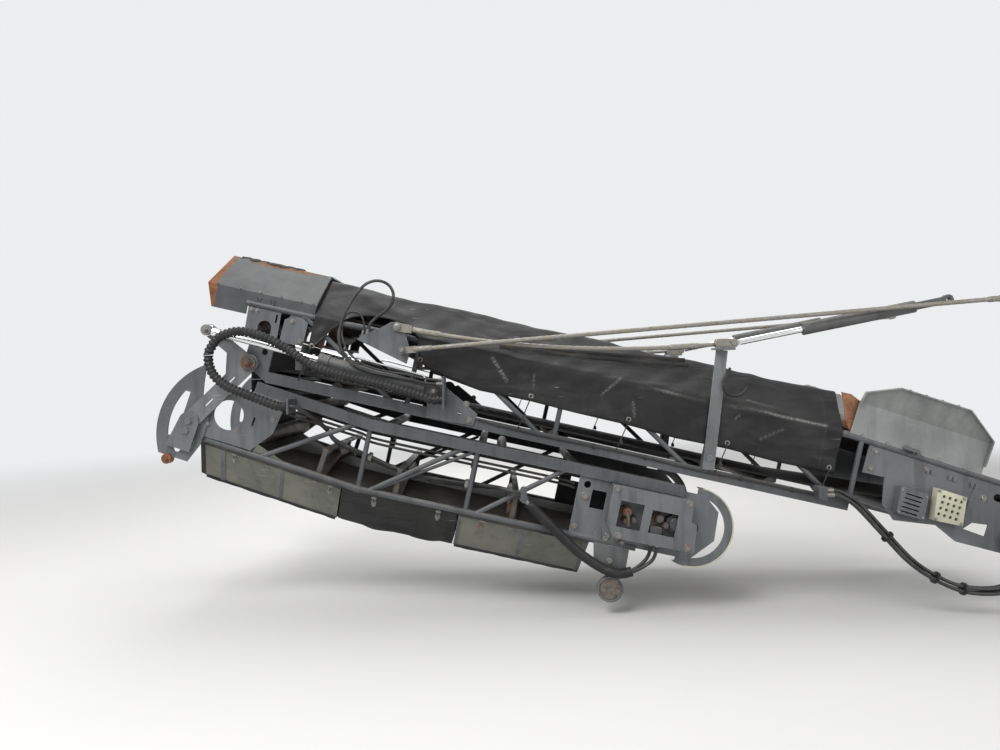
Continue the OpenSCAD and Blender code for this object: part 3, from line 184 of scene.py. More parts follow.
def turnedPart(profile, centre, axis, sides=24):
    # a profile of (distance along the axis, radius) turned round the axis through the centre
    profile = np.asarray(profile, float)
    axis, across, up = squareTo(axis)
    angle = roundSteps(sides)[None, :, None]
    return cappedPart(np.asarray(centre, float) + profile[:, 0, None, None] * axis
                      + profile[:, 1, None, None] * (np.cos(angle) * across + np.sin(angle) * up))


def ringPart(centre, axis, radius, wire, around=20, thick=8):
    # a round ring: a small circle carried round a large one
    axis, across, up = squareTo(axis)
    a, b = roundSteps(around)[:, None, None], roundSteps(thick)[None, :, None]
    outward = np.cos(a) * across + np.sin(a) * up
    points = np.asarray(centre, float) + outward * (radius + wire * np.cos(b)) + axis * wire * np.sin(b)
    return gridPart(points, True, True)


def slabPart(line, outline, y0, y1):
    # an outline along and above one part's line, as a plate between two places across the width
    along, above = np.transpose(outline)
    return cappedPart(np.stack([place(line, along, above, y) for y in (y0, y1)]))


def barPart(path, width, depth, rounding=0.25):
    # a flat strap with rounded long edges: its section is a squashed circle carried along the path
    across = np.cross([0.0, 1.0, 0.0], directions(path))
    across /= np.linalg.norm(across, axis=1)[:, None]
    section = np.stack([np.cos(roundSteps(12)), np.sin(roundSteps(12))])
    w, d = (np.sign(section) * np.abs(section) ** rounding)[..., None] / 2
    return cappedPart(path[:, None, :] + across[:, None, :] * w * width + np.array([0, 1, 0]) * d * depth)


def mirrored(parts):
    # the same parts on the other side of the conveyor, with their faces turned back outwards
    return parts + [(points * np.array([1, -1, 1]), [f[:, ::-1] for f in faces]) for points, faces in parts]


def buildMesh(name, parts):
    mesh = bpy.data.meshes.new(name)
    points = np.concatenate([p for p, _ in parts])
    offset, loops, counts = 0, [], []
    for p, faces in parts:
        for f in faces:
            loops.append((f + offset).ravel())
            counts.append(np.full(len(f), f.shape[1]))
        offset += len(p)
    loops, counts = np.concatenate(loops), np.concatenate(counts)
    mesh.vertices.add(len(points))
    mesh.vertices.foreach_set("co", points.astype(np.float32).ravel())
    mesh.loops.add(len(loops))
    mesh.loops.foreach_set("vertex_index", loops.astype(np.int32))
    mesh.polygons.add(len(counts))
    mesh.polygons.foreach_set("loop_start", np.concatenate([[0], np.cumsum(counts)[:-1]]).astype(np.int32))
    mesh.update(calc_edges=True)
    mesh.validate()
    return mesh


def piece(name, parts, body, slotName, finish=None, sharp=35, outwards=True, bevel=0.0, nodes=()):
    # one object of many parts in one material slot, with the slot's own finish unless another is named;
    # it rides on a body, or on none where it bends between two
    mesh = buildMesh(name, parts)
    if outwards:
        tool = bmesh.new()
        tool.from_mesh(mesh)
        bmesh.ops.recalc_face_normals(tool, faces=tool.faces)
        tool.to_mesh(mesh)
        tool.free()
    mesh.shade_smooth()
    mesh.set_sharp_from_angle(angle=math.radians(sharp))
    thing = bpy.data.objects.new(name, mesh)
    bpy.context.collection.objects.link(thing)
    mesh.materials.append(finishes[finish or slotName])
    if bevel:
        edge = thing.modifiers.new("edge", "BEVEL")
        edge.width, edge.segments, edge.limit_method, edge.angle_limit = bevel, 2, "ANGLE", math.radians(40)
    if body:
        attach(thing, body)
    if nodes:
        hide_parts(*nodes)
    return thing


def addUv(thing, u, v):
    # one (u, v) for each vertex, copied to the corners that use it
    uv = np.stack(np.broadcast_arrays(u, v), -1).reshape(-1, 2)
    mesh = thing.data
    layer = mesh.uv_layers.new(name="surface")
    corner = np.empty(len(mesh.loops), np.int32)
    mesh.loops.foreach_get("vertex_index", corner)
    layer.data.foreach_set("uv", uv.astype(np.float32)[corner].ravel())


# Shader maths


class Signal:
    # wraps one socket, so that expressions on values add their Math nodes
    def __init__(self, shader, socket):
        self.shader, self.socket = shader, socket

    def __add__(self, other):
        return self.shader.math("ADD", self, other)

    def __radd__(self, other):
        return self.shader.math("ADD", self, other)

    def __mul__(self, other):
        return self.shader.math("MULTIPLY", self, other)

    def __sub__(self, other):
        return self.shader.math("SUBTRACT", self, other)

    def __rsub__(self, other):
        return self.shader.math("SUBTRACT", other, self)

    def between(self, low, high):
        # 0 below low, 1 above high, a smooth step between them
        return self.shader.node("MapRange", {"interpolation_type": "SMOOTHSTEP"},
                                {"Value": self, "From Min": low, "From Max": high})

    def clamped(self):
        return self.shader.node("Clamp", {}, {"Value": self})


class Shader:
    inputNames = {"colour": "Base Color", "rough": "Roughness", "metal": "Metallic", "normal": "Normal",
                  "coat": "Coat Weight", "specular": "Specular IOR Level"}

    def __init__(self, name, owner=None):
        self.material = owner or bpy.data.materials.new(name)
        self.material.use_nodes = True
        self.tree = self.material.node_tree
        self.tree.nodes.clear()
        self.object = self.node("TexCoord", output="Object")

    def node(self, kind, settings=None, values=None, output=0):
        # settings are put in first, because they can change which sockets there are
        made = self.tree.nodes.new("ShaderNode" + kind)
        for key, value in (settings or {}).items():
            if key == "stops":
                while len(made.color_ramp.elements) < len(value):
                    made.color_ramp.elements.new(0.5)
                for element, (at, colour) in zip(made.color_ramp.elements, value):
                    element.position, element.color = at, (*colour, 1)
            else:
                setattr(made, key, value)
        for key, value in (values or {}).items():
            socket = made.inputs[key]
            if isinstance(value, Signal):
                self.tree.links.new(value.socket, socket)
            elif socket.type == "RGBA":
                socket.default_value = (*value[:3], 1)
            else:
                socket.default_value = value
        return Signal(self, made.outputs[output]) if made.outputs else None

    def math(self, operation, *inputs):
        return self.node("Math", {"operation": operation}, dict(enumerate(inputs)))

    def mix(self, low, high, factor):
        return self.node("Mix", {"data_type": "RGBA"}, {0: factor, 6: low, 7: high}, 2)

    def stretched(self, scale, offset=(0, 0, 0)):
        return self.node("Mapping", {}, {"Vector": self.object, "Scale": scale, "Location": offset})

    def noise(self, scale, detail=3.0, rough=0.55, source=None, distortion=0.0):
        return self.node("TexNoise", {}, {"Vector": source or self.object, "Scale": scale, "Detail": detail,
                                          "Roughness": rough, "Distortion": distortion})

    def wave(self, source, scale, distortion, detail, direction="Y", kind="BANDS"):
        values = {"Vector": source, "Scale": scale, "Distortion": distortion, "Detail": detail}
        return self.node("TexWave", {"wave_type": kind, kind.lower() + "_direction": direction}, values, "Fac")

    def ramp(self, factor, *stops):
        return self.node("ValToRGB", {"stops": stops}, {"Fac": factor})

    def ownMap(self):
        return self.node("UVMap", {"uv_map": "surface"})

    def axis(self, source, which):
        return self.node("SeparateXYZ", {}, {0: source}, which)

    def flatNormal(self):
        return self.node("NewGeometry", {}, {}, "Normal")

    def upward(self, low, high):
        # how much the surface faces the sky: its normal's height, as a step between two heights
        return self.axis(self.flatNormal(), 2).between(low, high)

    def edges(self, radius):
        # how far the rounded normal leaves the flat one, which is high along outer and inner edges
        rounded = self.node("Bevel", {"samples": 4}, {"Radius": radius})
        pair = {0: rounded, 1: self.flatNormal()}
        return 1 - self.node("VectorMath", {"operation": "DOT_PRODUCT"}, pair, "Value")

    def bump(self, height, strength, distance, below=None):
        values = {"Height": height, "Strength": strength, "Distance": distance}
        if below is not None:
            values["Normal"] = below
        return self.node("Bump", {}, values)

    def surface(self, **values):
        made = self.node("BsdfPrincipled", {}, {self.inputNames[k]: v for k, v in values.items()})
        self.node("OutputMaterial", {}, {"Surface": made})
        return self.material


def shade(colour, k):
    return tuple(round(c * k, 4) for c in colour)


dustColour = (0.36, 0.335, 0.285)
rustStops = [(0.25, (0.085, 0.032, 0.014)), (0.5, (0.18, 0.07, 0.028)), (0.75, (0.33, 0.125, 0.045))]


def rustColour(s, scale=60.0):
    return s.ramp(s.noise(scale, 5.0, 0.65), *rustStops)


def paint(name, look):
    # shop paint with road dust on top, dirt streaks, scratches, chipped edges and a little rust
    s = Shader(name)
    broad, fine = s.noise(1.7, 4.0, 0.6), s.noise(46.0, 5.0, 0.6)
    streak = s.noise(5.0, 4.0, 0.6, s.stretched((3.2, 3.2, 0.35))).between(0.45, 0.7)
    settled = s.upward(0.1, 0.95) * s.noise(7.0, 5.0, 0.65).between(0.3, 0.62)
    speck = s.noise(210.0, 2.0, 0.5).between(0.6, 0.72)
    colour = s.mix(look["dark"], look["colour"], broad.between(0.32, 0.66))
    colour = s.mix(colour, tuple(0.55 * c for c in look["dark"]), streak * look["streaks"])
    colour = s.mix(colour, dustColour, (settled * look["dust"] + speck * 0.16 * look["dust"]).clamped())
    scratched = s.noise(1.0, 2.0, 0.5, s.stretched((9.0, 9.0, 240.0), (0.3, 0, 0))).between(0.66, 0.7)
    scratched = scratched * s.noise(4.2, 2.0).between(0.5, 0.62)
    colour = s.mix(colour, look["bare"], scratched * look["scratches"])
    worn = (s.edges(0.006).between(0.02, 0.16) * s.noise(26.0, 4.0, 0.7).between(0.4, 0.56)).clamped()
    colour = s.mix(colour, look["bare"], worn * look["wear"])
    spots = (s.noise(15.0, 6.0, 0.75).between(0.63, 0.7) * look["rust"]).clamped()
    colour = s.mix(colour, rustColour(s), spots)
    rough = look["rough"] + settled * 0.22 + fine * 0.12 + spots * 0.25
    height = fine * 0.35 + s.noise(420.0, 2.0) * 0.3 - spots * 0.5 - worn * 0.4
    return s.surface(colour=colour, rough=rough.clamped(), normal=s.bump(height, 0.35, 0.0006), specular=0.42)


# What a user may change on each painted finish: colour, and how much there is of each kind of wear
paintLooks = {
    "frame_paint": dict(colour=(0.086, 0.091, 0.098),
                        dust=0.26, streaks=0.5, scratches=0.45, wear=0.6, rust=0.4, rough=0.38),
    "plate_paint": dict(colour=(0.128, 0.135, 0.142),
                        dust=0.3, streaks=0.55, scratches=0.5, wear=0.7, rust=0.45, rough=0.38),
    "arm_paint": dict(colour=(0.18, 0.188, 0.193),
                      dust=0.3, streaks=0.5, scratches=0.6, wear=0.7, rust=0.65, rough=0.36),
    "hopper_paint": dict(colour=(0.25, 0.26, 0.256),
                         dust=0.42, streaks=0.3, scratches=0.4, wear=0.6, rust=0.5, rough=0.36),
    "cylinder_paint": dict(colour=(0.085, 0.088, 0.088),
                           dust=0.25, streaks=0.4, scratches=0.4, wear=0.5, rust=0.4, rough=0.34),
    "yellow_paint": dict(colour=(0.56, 0.55, 0.42),
                         dust=0.2, streaks=0.25, scratches=0.2, wear=0.5, rust=0.5, rough=0.42),
    "lamp_finish": dict(colour=(0.125, 0.13, 0.133),
                        dust=0.35, streaks=0.45, scratches=0.4, wear=0.7, rust=0.9, rough=0.42),
    "drum_steel": dict(colour=(0.055, 0.055, 0.057),
                       dust=0.55, streaks=0.4, scratches=0.2, wear=0.5, rust=0.8, rough=0.5),
}
finishes = {}
for slotName, look in paintLooks.items():
    look["dark"] = shade(look["colour"], 0.6)
    look["bare"] = tuple(min(0.6, 1.9 * c + 0.05) for c in look["colour"])
    finishes[slotName] = paint(slotName, look)

hoodLook = dict(light=(0.094, 0.102, 0.105), dark=(0.058, 0.063, 0.064), dirt=(0.05, 0.05, 0.05),
                bare=(0.42, 0.42, 0.4), openEnd=-0.396, top=0.69)


def hoodFinish():
    # grey paint, rusted in an uneven band at the open end and along the top edge near the torn strip
    s = Shader("hood_paint")
    look = hoodLook
    broad, fine = s.noise(2.1, 4.0, 0.6), s.noise(40.0, 5.0, 0.6)
    colour = s.mix(look["dark"], look["light"], broad.between(0.3, 0.65))
    streak = s.noise(6.0, 4.0, 0.6, s.stretched((3.0, 3.0, 0.4))).between(0.5, 0.72)
    colour = s.mix(colour, look["dirt"], streak * 0.45)
    cos, sin = math.cos(math.radians(slopes["base"])), math.sin(math.radians(slopes["base"]))
    x, y, z = (s.axis(s.object, k) for k in range(3))
    startX, startZ = starts["base"] / 1000
    along = x * cos - z * sin - (startX * cos - startZ * sin + look["openEnd"])
    above = x * sin + z * cos - (startX * sin + startZ * cos + look["top"])
    ragged = s.noise(9.0, 6.0, 0.7) * 0.11 + s.noise(46.0, 3.0, 0.6) * 0.025
    band = 1 - (along - ragged).between(-0.022, 0.012)
    topEdge = (above + s.noise(14.0, 5.0, 0.7) * 0.035).between(-0.012, 0.006)
    topEdge = topEdge * along.between(0.12, 0.3) * (1 - along.between(0.5, 0.74))
    topEdge = topEdge * (s.math("ABSOLUTE", y) + s.noise(7.0, 5.0, 0.7) * 0.16).between(0.42, 0.5)
    rusty = (band + topEdge * 0.8 + s.noise(12.0, 6.0, 0.75).between(0.66, 0.72) * 0.7).clamped()
    colour = s.mix(colour, rustColour(s, 38.0), rusty)
    settled = s.upward(0.3, 1.0) * s.noise(6.0, 5.0, 0.6).between(0.3, 0.65)
    colour = s.mix(colour, dustColour, settled * 0.14)
    worn = s.edges(0.005).between(0.03, 0.18) * s.noise(30.0, 4.0, 0.7).between(0.45, 0.6)
    colour = s.mix(colour, look["bare"], worn * 0.5)
    height = fine * 0.4 + rusty * s.noise(120.0, 5.0, 0.7) * 1.6
    return s.surface(colour=colour, rough=(0.4 + rusty * 0.4 + settled * 0.2).clamped(),
                     normal=s.bump(height, 0.45, 0.0009), specular=0.3)


clothLook = dict(colour=(0.019, 0.019, 0.02), dark=(0.01, 0.01, 0.0105), dusty=(0.046, 0.044, 0.041),
                 scuff=(0.3, 0.29, 0.27), rough=0.44, threads=190.0)


def clothFinish():
    # coated weave: two crossed waves for the threads, dusty folds, pale rub marks and creases
    s = Shader("tarp_cloth")
    look = clothLook
    threads, weft = (s.wave(s.ownMap(), look["threads"], 0.4, 1.0, way) for way in "XY")
    colour = s.mix(look["dark"], look["colour"], s.noise(3.1, 5.0, 0.6).between(0.3, 0.68))
    dusty = s.noise(2.3, 6.0, 0.68, distortion=0.6).between(0.46, 0.72)
    colour = s.mix(colour, look["dusty"], dusty * 0.5 + s.upward(0.55, 1.0) * 0.22)
    rub = s.noise(1.0, 4.0, 0.65, s.stretched((4.5, 4.5, 46.0))).between(0.63, 0.69)
    rub = rub * s.noise(3.7, 3.0).between(0.52, 0.62)
    scuffed = s.node("Attribute", {"attribute_name": "scuff"}, {}, "Fac")
    scuffed = scuffed * s.noise(90.0, 4.0, 0.7).between(0.36, 0.6)
    colour = s.mix(colour, look["scuff"], (rub * 0.45 + scuffed * 0.75).clamped())
    wrinkle = s.noise(11.0, 4.0, 0.55, distortion=1.2)
    fold = s.noise(1.0, 2.0, 0.45, s.stretched((2.0, 4.2, 5.2), (0.2, 0, 0)), 0.7)
    weave = s.bump(threads + weft, 0.18, 0.0005)
    folds = s.bump(fold, 0.65, 0.05, s.bump(wrinkle, 0.26, 0.008, weave))
    rough = look["rough"] + dusty * 0.14
    return s.surface(colour=colour, rough=rough.clamped(), normal=folds, specular=0.24)


sheetLook = dict(dark=(0.105, 0.108, 0.094), light=(0.175, 0.178, 0.15), dirt=(0.052, 0.05, 0.045),
                 smear=(0.26, 0.25, 0.215), rubbed=(0.36, 0.35, 0.31))


def sheetFinish():
    # stiff grey-green sheet, matt, with dirt that runs down and rubbed lower edges
    s = Shader("panel_sheet")
    look = sheetLook
    colour = s.mix(look["dark"], look["light"], s.noise(2.4, 5.0, 0.62).between(0.3, 0.7))
    run = s.noise(4.0, 5.0, 0.65, s.stretched((3.4, 3.4, 0.45))).between(0.48, 0.74)
    colour = s.mix(colour, look["dirt"], run * 0.5)
    smear = s.noise(1.3, 6.0, 0.7, distortion=0.8).between(0.5, 0.75)
    colour = s.mix(colour, look["smear"], smear * 0.45)
    mark = s.noise(1.0, 3.0, 0.6, s.stretched((6.0, 6.0, 90.0))).between(0.66, 0.7)
    colour = s.mix(colour, look["rubbed"], mark * 0.5)
    spots = s.noise(13.0, 6.0, 0.75).between(0.68, 0.73)
    colour = s.mix(colour, rustColour(s), spots * 0.7)
    return s.surface(colour=colour, rough=(0.5 + smear * 0.2).clamped(),
                     normal=s.bump(s.noise(60.0, 5.0, 0.6) + s.noise(5.0, 2.0) * 3.0, 0.3, 0.001),
                     specular=0.35)


def rubberFinish(name, colour, dusty, amount, rough, grain):
    s = Shader(name)
    dust = s.noise(3.4, 6.0, 0.68).between(0.38, 0.72) * amount + s.upward(0.2, 1.0) * amount * 0.6
    tone = s.mix(colour, dusty, dust.clamped())
    rub = s.noise(1.0, 4.0, 0.6, s.stretched((3.0, 30.0, 30.0))).between(0.6, 0.68)
    tone = s.mix(tone, shade(dusty, 1.4), rub * 0.25)
    return s.surface(colour=tone, rough=(rough + dust * 0.18).clamped(),
                     normal=s.bump(s.noise(grain, 4.0, 0.6), 0.3, 0.0006), specular=0.26)


def hoseFinish(colour=(0.018, 0.018, 0.019), dusty=(0.1, 0.097, 0.09)):
    # wrapped rubber cover: fine slanting wrap lines along the hose's own map, with dust and rubbed spots
    s = Shader("hose_rubber")
    wrap = s.wave(s.ownMap(), 42.0, 0.6, 1.0)
    dust = s.noise(9.0, 5.0, 0.65).between(0.42, 0.7) + s.upward(0.4, 1.0) * 0.3
    colour = s.mix(colour, dusty, (dust * 0.45).clamped())
    return s.surface(colour=colour, rough=(0.36 + dust * 0.2).clamped(), normal=s.bump(wrap, 0.16, 0.0005),
                     specular=0.42)


def rustySteel(name, clean, share, rough, bare):
    # worn steel: bare and grey where it is rubbed, brown in the pits
    s = Shader(name)
    patch = s.noise(8.0, 6.0, 0.7).between(*share)
    colour = s.mix(rustColour(s, 44.0), s.mix(shade(clean, 0.7), clean, s.noise(30.0, 4.0, 0.6)), patch)
    colour = s.mix(colour, shade(clean, 0.45), s.wave(s.object, 26.0, 2.5, 3.0) * 0.35)
    return s.surface(colour=colour, rough=(rough + (1 - patch) * 0.35).clamped(), metal=patch * bare,
                     normal=s.bump(s.noise(150.0, 5.0, 0.7), 0.35, 0.0007))


def chromeFinish(clean=(0.78, 0.79, 0.8), dusty=(0.4, 0.37, 0.32)):
    s = Shader("rod_chrome")
    film = s.noise(20.0, 5.0, 0.65, s.stretched((1.0, 6.0, 6.0))).between(0.5, 0.75)
    line = s.noise(1.0, 2.0, 0.5, s.stretched((4.0, 300.0, 300.0)))
    return s.surface(colour=s.mix(clean, dusty, film * 0.5), rough=(0.1 + film * 0.25).clamped(), metal=1.0,
                     normal=s.bump(line, 0.06, 0.0003))


def ropeFinish(clean=(0.23, 0.226, 0.214), dusty=(0.22, 0.196, 0.152), brown=(0.1, 0.08, 0.06)):
    # galvanised strands gone beige with dust, with darker brown patches here and there
    s = Shader("rope_steel")
    film = s.noise(16.0, 5.0, 0.65).between(0.35, 0.68)
    colour = s.mix(s.mix(clean, dusty, film), brown, s.noise(34.0, 5.0, 0.7).between(0.55, 0.7) * 0.7)
    return s.surface(colour=colour, rough=(0.4 + film * 0.2).clamped(), metal=(0.6 - film * 0.35).clamped(),
                     normal=s.bump(s.noise(190.0, 3.0), 0.25, 0.0005))


linerStops = [(0.32, (0.05, 0.026, 0.016)), (0.5, (0.19, 0.085, 0.042)), (0.62, (0.32, 0.165, 0.095)),
              (0.74, (0.3, 0.27, 0.23))]


def linerFinish():
    # rubber skirt that has gone brown with rust and stone dust
    s = Shader("liner_rubber")
    return s.surface(colour=s.ramp(s.noise(7.0, 6.0, 0.7), *linerStops), rough=0.72,
                     normal=s.bump(s.noise(70.0, 6.0, 0.7), 0.6, 0.002), specular=0.3)


def lensFinish(dark=(0.06, 0.05, 0.042), dusty=(0.2, 0.17, 0.13)):
    # dusty round lens with moulded rings, over a dark inside
    s = Shader("lamp_lens")
    rings = s.wave(s.object, 30.0, 0.2, 2.0, kind="RINGS")
    dust = s.noise(30.0, 5.0, 0.65).between(0.35, 0.7)
    return s.surface(colour=s.mix(dark, dusty, dust * 0.7), rough=(0.22 + dust * 0.4).clamped(),
                     normal=s.bump(rings, 0.2, 0.001), coat=0.4)


finishes.update({
    "hood_paint": hoodFinish(), "tarp_cloth": clothFinish(), "panel_sheet": sheetFinish(),
    "belt_rubber": rubberFinish("belt_rubber", (0.02, 0.02, 0.021), (0.095, 0.086, 0.074), 0.5, 0.66, 240.0),
    "sleeve_plastic": rubberFinish("sleeve_plastic", (0.013, 0.0135, 0.015), (0.07, 0.067, 0.06), 0.25, 0.42,
                                   300.0),
    "hose_rubber": hoseFinish(),
    "roll_steel": rustySteel("roll_steel", (0.088, 0.084, 0.078), (0.34, 0.52), 0.5, 0.25),
    "fitting_zinc": rustySteel("fitting_zinc", (0.29, 0.286, 0.27), (0.3, 0.48), 0.36, 0.6),
    "rod_chrome": chromeFinish(), "rope_steel": ropeFinish(), "liner_rubber": linerFinish(),
    "lamp_lens": lensFinish(),
})
nodeSlots = {row["node"]: row["material_slot"] for row in frame["record"]["subparts"]}
for nodeName, thing in frame["nodes"].items():
    thing.data.materials.clear()
    thing.data.materials.append(finishes[nodeSlots[nodeName]])
print("stage: finishes made,", len(finishes))


# Camera, lights and floor

cameraLook = dict(location=(-3.43, -5.68, 1.119), lens=27.04, sensor=36.0)
camera = bpy.data.objects.new("camera", bpy.data.cameras.new("camera"))
camera.data.lens, camera.data.sensor_width = cameraLook["lens"], cameraLook["sensor"]
camera.location = cameraLook["location"]
camera.rotation_euler = (math.radians(90), 0, 0)
bpy.context.collection.objects.link(camera)
bpy.context.scene.camera = camera

# each soft box: where it stands, what it points at, its size and power
softBoxes = {
    "keyBox": dict(at=(-7.6, -6.5, 7.2), aim=(-3.2, 0, 0.6), size=5.0, power=760),
    "fillBox": dict(at=(3.4, -6.4, 3.4), aim=(-2.6, 0, 0.6), size=5.5, power=190),
    "topBox": dict(at=(-3.0, 1.5, 7.5), aim=(-3.0, 0, 0.8), size=6.0, power=300),
    "backBox": dict(at=(-4.0, 7.5, 4.5), aim=(-3.0, 0, 0.8), size=5.0, power=190),
}
for name, box in softBoxes.items():
    lamp = bpy.data.lights.new(name, "AREA")
    lamp.energy, lamp.size, lamp.shape = box["power"], box["size"], "SQUARE"
    holder = bpy.data.objects.new(name, lamp)
    holder.location = box["at"]
    holder.rotation_euler = (Vector(box["aim"]) - Vector(box["at"])).to_track_quat("-Z", "Y").to_euler()
    bpy.context.collection.objects.link(holder)

# the backdrop is pale for the eye and for reflections, and gives a lower, even light
roomLook = dict(pale=(0.84, 0.85, 0.86), light=0.42)
floorLook = dict(height=-0.482, colour=(0.72, 0.715, 0.7), reach=60.0, near=7.0, far=15.0)


def roomLight():
    world = bpy.data.worlds.new("room")
    bpy.context.scene.world = world
    s = Shader("room", world)
    seen = s.math("MAXIMUM", *(s.node("LightPath", output=ray) for ray in ("Is Camera Ray", "Is Glossy Ray")))
    glow = s.node("Background", {}, {"Color": s.mix((roomLook["light"],) * 3, roomLook["pale"], seen)})
    s.node("OutputWorld", {}, {"Surface": glow})


def floorFinish():
    # lit floor near the object, which fades into the backdrop far away
    s = Shader("studio_floor")
    tone = s.mix(floorLook["colour"], shade(floorLook["colour"], 0.97), s.noise(0.6, 3.0))
    lit = s.node("BsdfPrincipled", {}, {"Base Color": tone, "Roughness": 0.7, "Specular IOR Level": 0.3})
    away = s.node("VectorMath", {"operation": "LENGTH"}, {0: s.object}, "Value")
    away = away.between(floorLook["near"], floorLook["far"]) * s.node("LightPath", output="Is Camera Ray")
    plain = s.node("Emission", {}, {"Color": roomLook["pale"]})
    s.node("OutputMaterial", {}, {"Surface": s.node("MixShader", {}, {0: away, 1: lit, 2: plain})})
    return s.material


roomLight()
reach, low = floorLook["reach"], floorLook["height"]
floorPoints = np.array([[x * reach, y * reach, low] for x, y in ((-1, -1), (1, -1), (1, 1), (-1, 1))])
floor = bpy.data.objects.new("floor", buildMesh("floor", [(floorPoints, [np.array([[0, 1, 2, 3]])])]))
bpy.context.collection.objects.link(floor)
floor.data.materials.append(floorFinish())
bpy.context.scene.view_settings.view_transform = "Standard"
print("stage: camera, lights and floor")


# Hoses: each is one free length between its clamp and its fitting

# feed hoses in the side view: places on the route, and the way in which a second row lies outside it
feedRoute = np.array([
    [-1290, 360, 0, -1], [-1262, 360, 0, -1], [-1234, 360, 0, -1], [-1170, 342, -0.2, -1],
    [-1060, 270, -0.6, -0.8], [-900, 100, -0.7, -0.7], [-720, -90, -0.7, -0.7], [-560, -200, -0.5, -0.9],
    [-380, -275, -0.2, -1], [-180, -290, 0.1, -1], [0, -245, 0.5, -0.9], [88, -200, 0.9, -0.4],
    [110, -160, 1, 0], [110, -135, 1, 0], [110, -110, 1, 0]], float)
feedHoses = {"feed_hose_1": (-705, 0), "feed_hose_2": (-735, 0), "feed_hose_3": (-720, 28),
             "feed_hose_4": (-750, 28)}
driveRoute = np.array([
    [-3260, 290], [-3240, 270], [-3220, 250], [-3120, 150], [-2900, -60], [-2700, -180], [-2570, -180],
    [-2470, -110], [-2433, -36], [-2430, -10], [-2430, 15], [-2430, 40]], float)
driveHoses = {"drive_hose_1": (-705, 0), "drive_hose_2": (-735, 32)}
loopRoute = np.array([
    [-3800, -806, 1062], [-3830, -806, 1062], [-3860, -806, 1062], [-3930, -806, 1069], [-4034, -806, 1094],
    [-4230, -806, 1128], [-4370, -806, 1180], [-4450, -804, 1268], [-4478, -800, 1365], [-4460, -790, 1470],
    [-4418, -780, 1570], [-4366, -770, 1652], [-4308, -761, 1715], [-4236, -752, 1738], [-4168, -743, 1716],
    [-4133, -736, 1658], [-4143, -729, 1592], [-4188, -720, 1541], [-4243, -710, 1503], [-4284, -703, 1466],
    [-4301.8, -702, 1434.7], [-4308.2, -702, 1405.4], [-4314.6, -702, 1376.6]])
shortRoute = np.array([
    [-3800, -806, 1090], [-3830, -806, 1090], [-3860, -806, 1090], [-3930, -806, 1097], [-4034, -806, 1122],
    [-4210, -806, 1152], [-4340, -806, 1202], [-4422, -804, 1280], [-4456, -792, 1365], [-4463, -774, 1420],
    [-4461, -762, 1468], [-4442, -750, 1514], [-4396, -738, 1534], [-4350, -724, 1514], [-4332, -710, 1470],
    [-4331.5, -702, 1433.1], [-4337.1, -702, 1407.7], [-4342.7, -702, 1382.8]])
# ferrules scale with the diameter, and the hose's own map is as wide as the hose is round
hoseLook = dict(wide=0.024, ferruleLong=2.1, ferruleOver=1.36, step=0.011, sides=14, mapWide=0.075,
                mapSlant=0.03)


def ferrule(name, at, way, body, diameter):
    # pressed steel ferrule with rolled grooves: its profile is (share of its length, radius over the hose's)
    k, w = hoseLook["ferruleLong"] * diameter, hoseLook["ferruleOver"]
    groove = w - 0.14
    profile = np.array([[0, 1.03], [0.02, w], [0.3, w], [0.34, groove], [0.42, groove], [0.46, w], [0.62, w],
                        [0.66, groove], [0.74, groove], [0.78, w], [0.97, w], [1, 1.03]])
    return piece(name, [turnedPart(profile * [k, diameter / 2], at, way, 20)], body, "fitting_zinc")


def mappedHose(name, path, body, diameter, nodes=()):
    # a plain tube with a map round it and along it, for the wrap lines
    sides = hoseLook["sides"]
    thing = piece(name, [tubePart(path, diameter / 2, sides)], body, "hose_rubber", nodes=nodes)
    turn = np.linspace(0, 1, sides, endpoint=False)[None, :]
    addUv(thing, turn * hoseLook["mapWide"], runOf(path)[:, None] + turn * hoseLook["mapSlant"])
    return thing


def hose(name, route, body, diameter):
    path = evenly(smoothPath(route, 12) / 1000, hoseLook["step"])
    thing = mappedHose(name + "_tube", path, body, diameter, [name])
    way = directions(path)
    k = hoseLook["ferruleLong"] * diameter
    ends = [ferrule(name + "_ferrule_start", path[0] + way[0] * 0.002, way[0], body, diameter),
            ferrule(name + "_ferrule_end", path[-1] - way[-1] * (k + 0.002), way[-1], body, diameter)]


def feedLine(out, y):
    # the feed hoses' route moved outside itself, at one place across the width
    x, z = (feedRoute[:, :2] + out * feedRoute[:, 2:]).T
    return np.stack([x, np.full(len(x), float(y)), z], -1)


def driveLine(shift, y):
    # the drive hoses' route, with its last part moved along
    x, z = driveRoute.T
    return np.stack([x + (np.arange(len(x)) > 6) * shift, np.full(len(x), float(y)), z], -1)


def wrapTurns(run, angle):
    # radius change of a spiral wrap: a shallow groove that goes once round the hose on each pitch
    return -0.0022 * np.exp(-(np.cos(np.pi * run / 0.034 - angle / 2) / 0.22) ** 2)


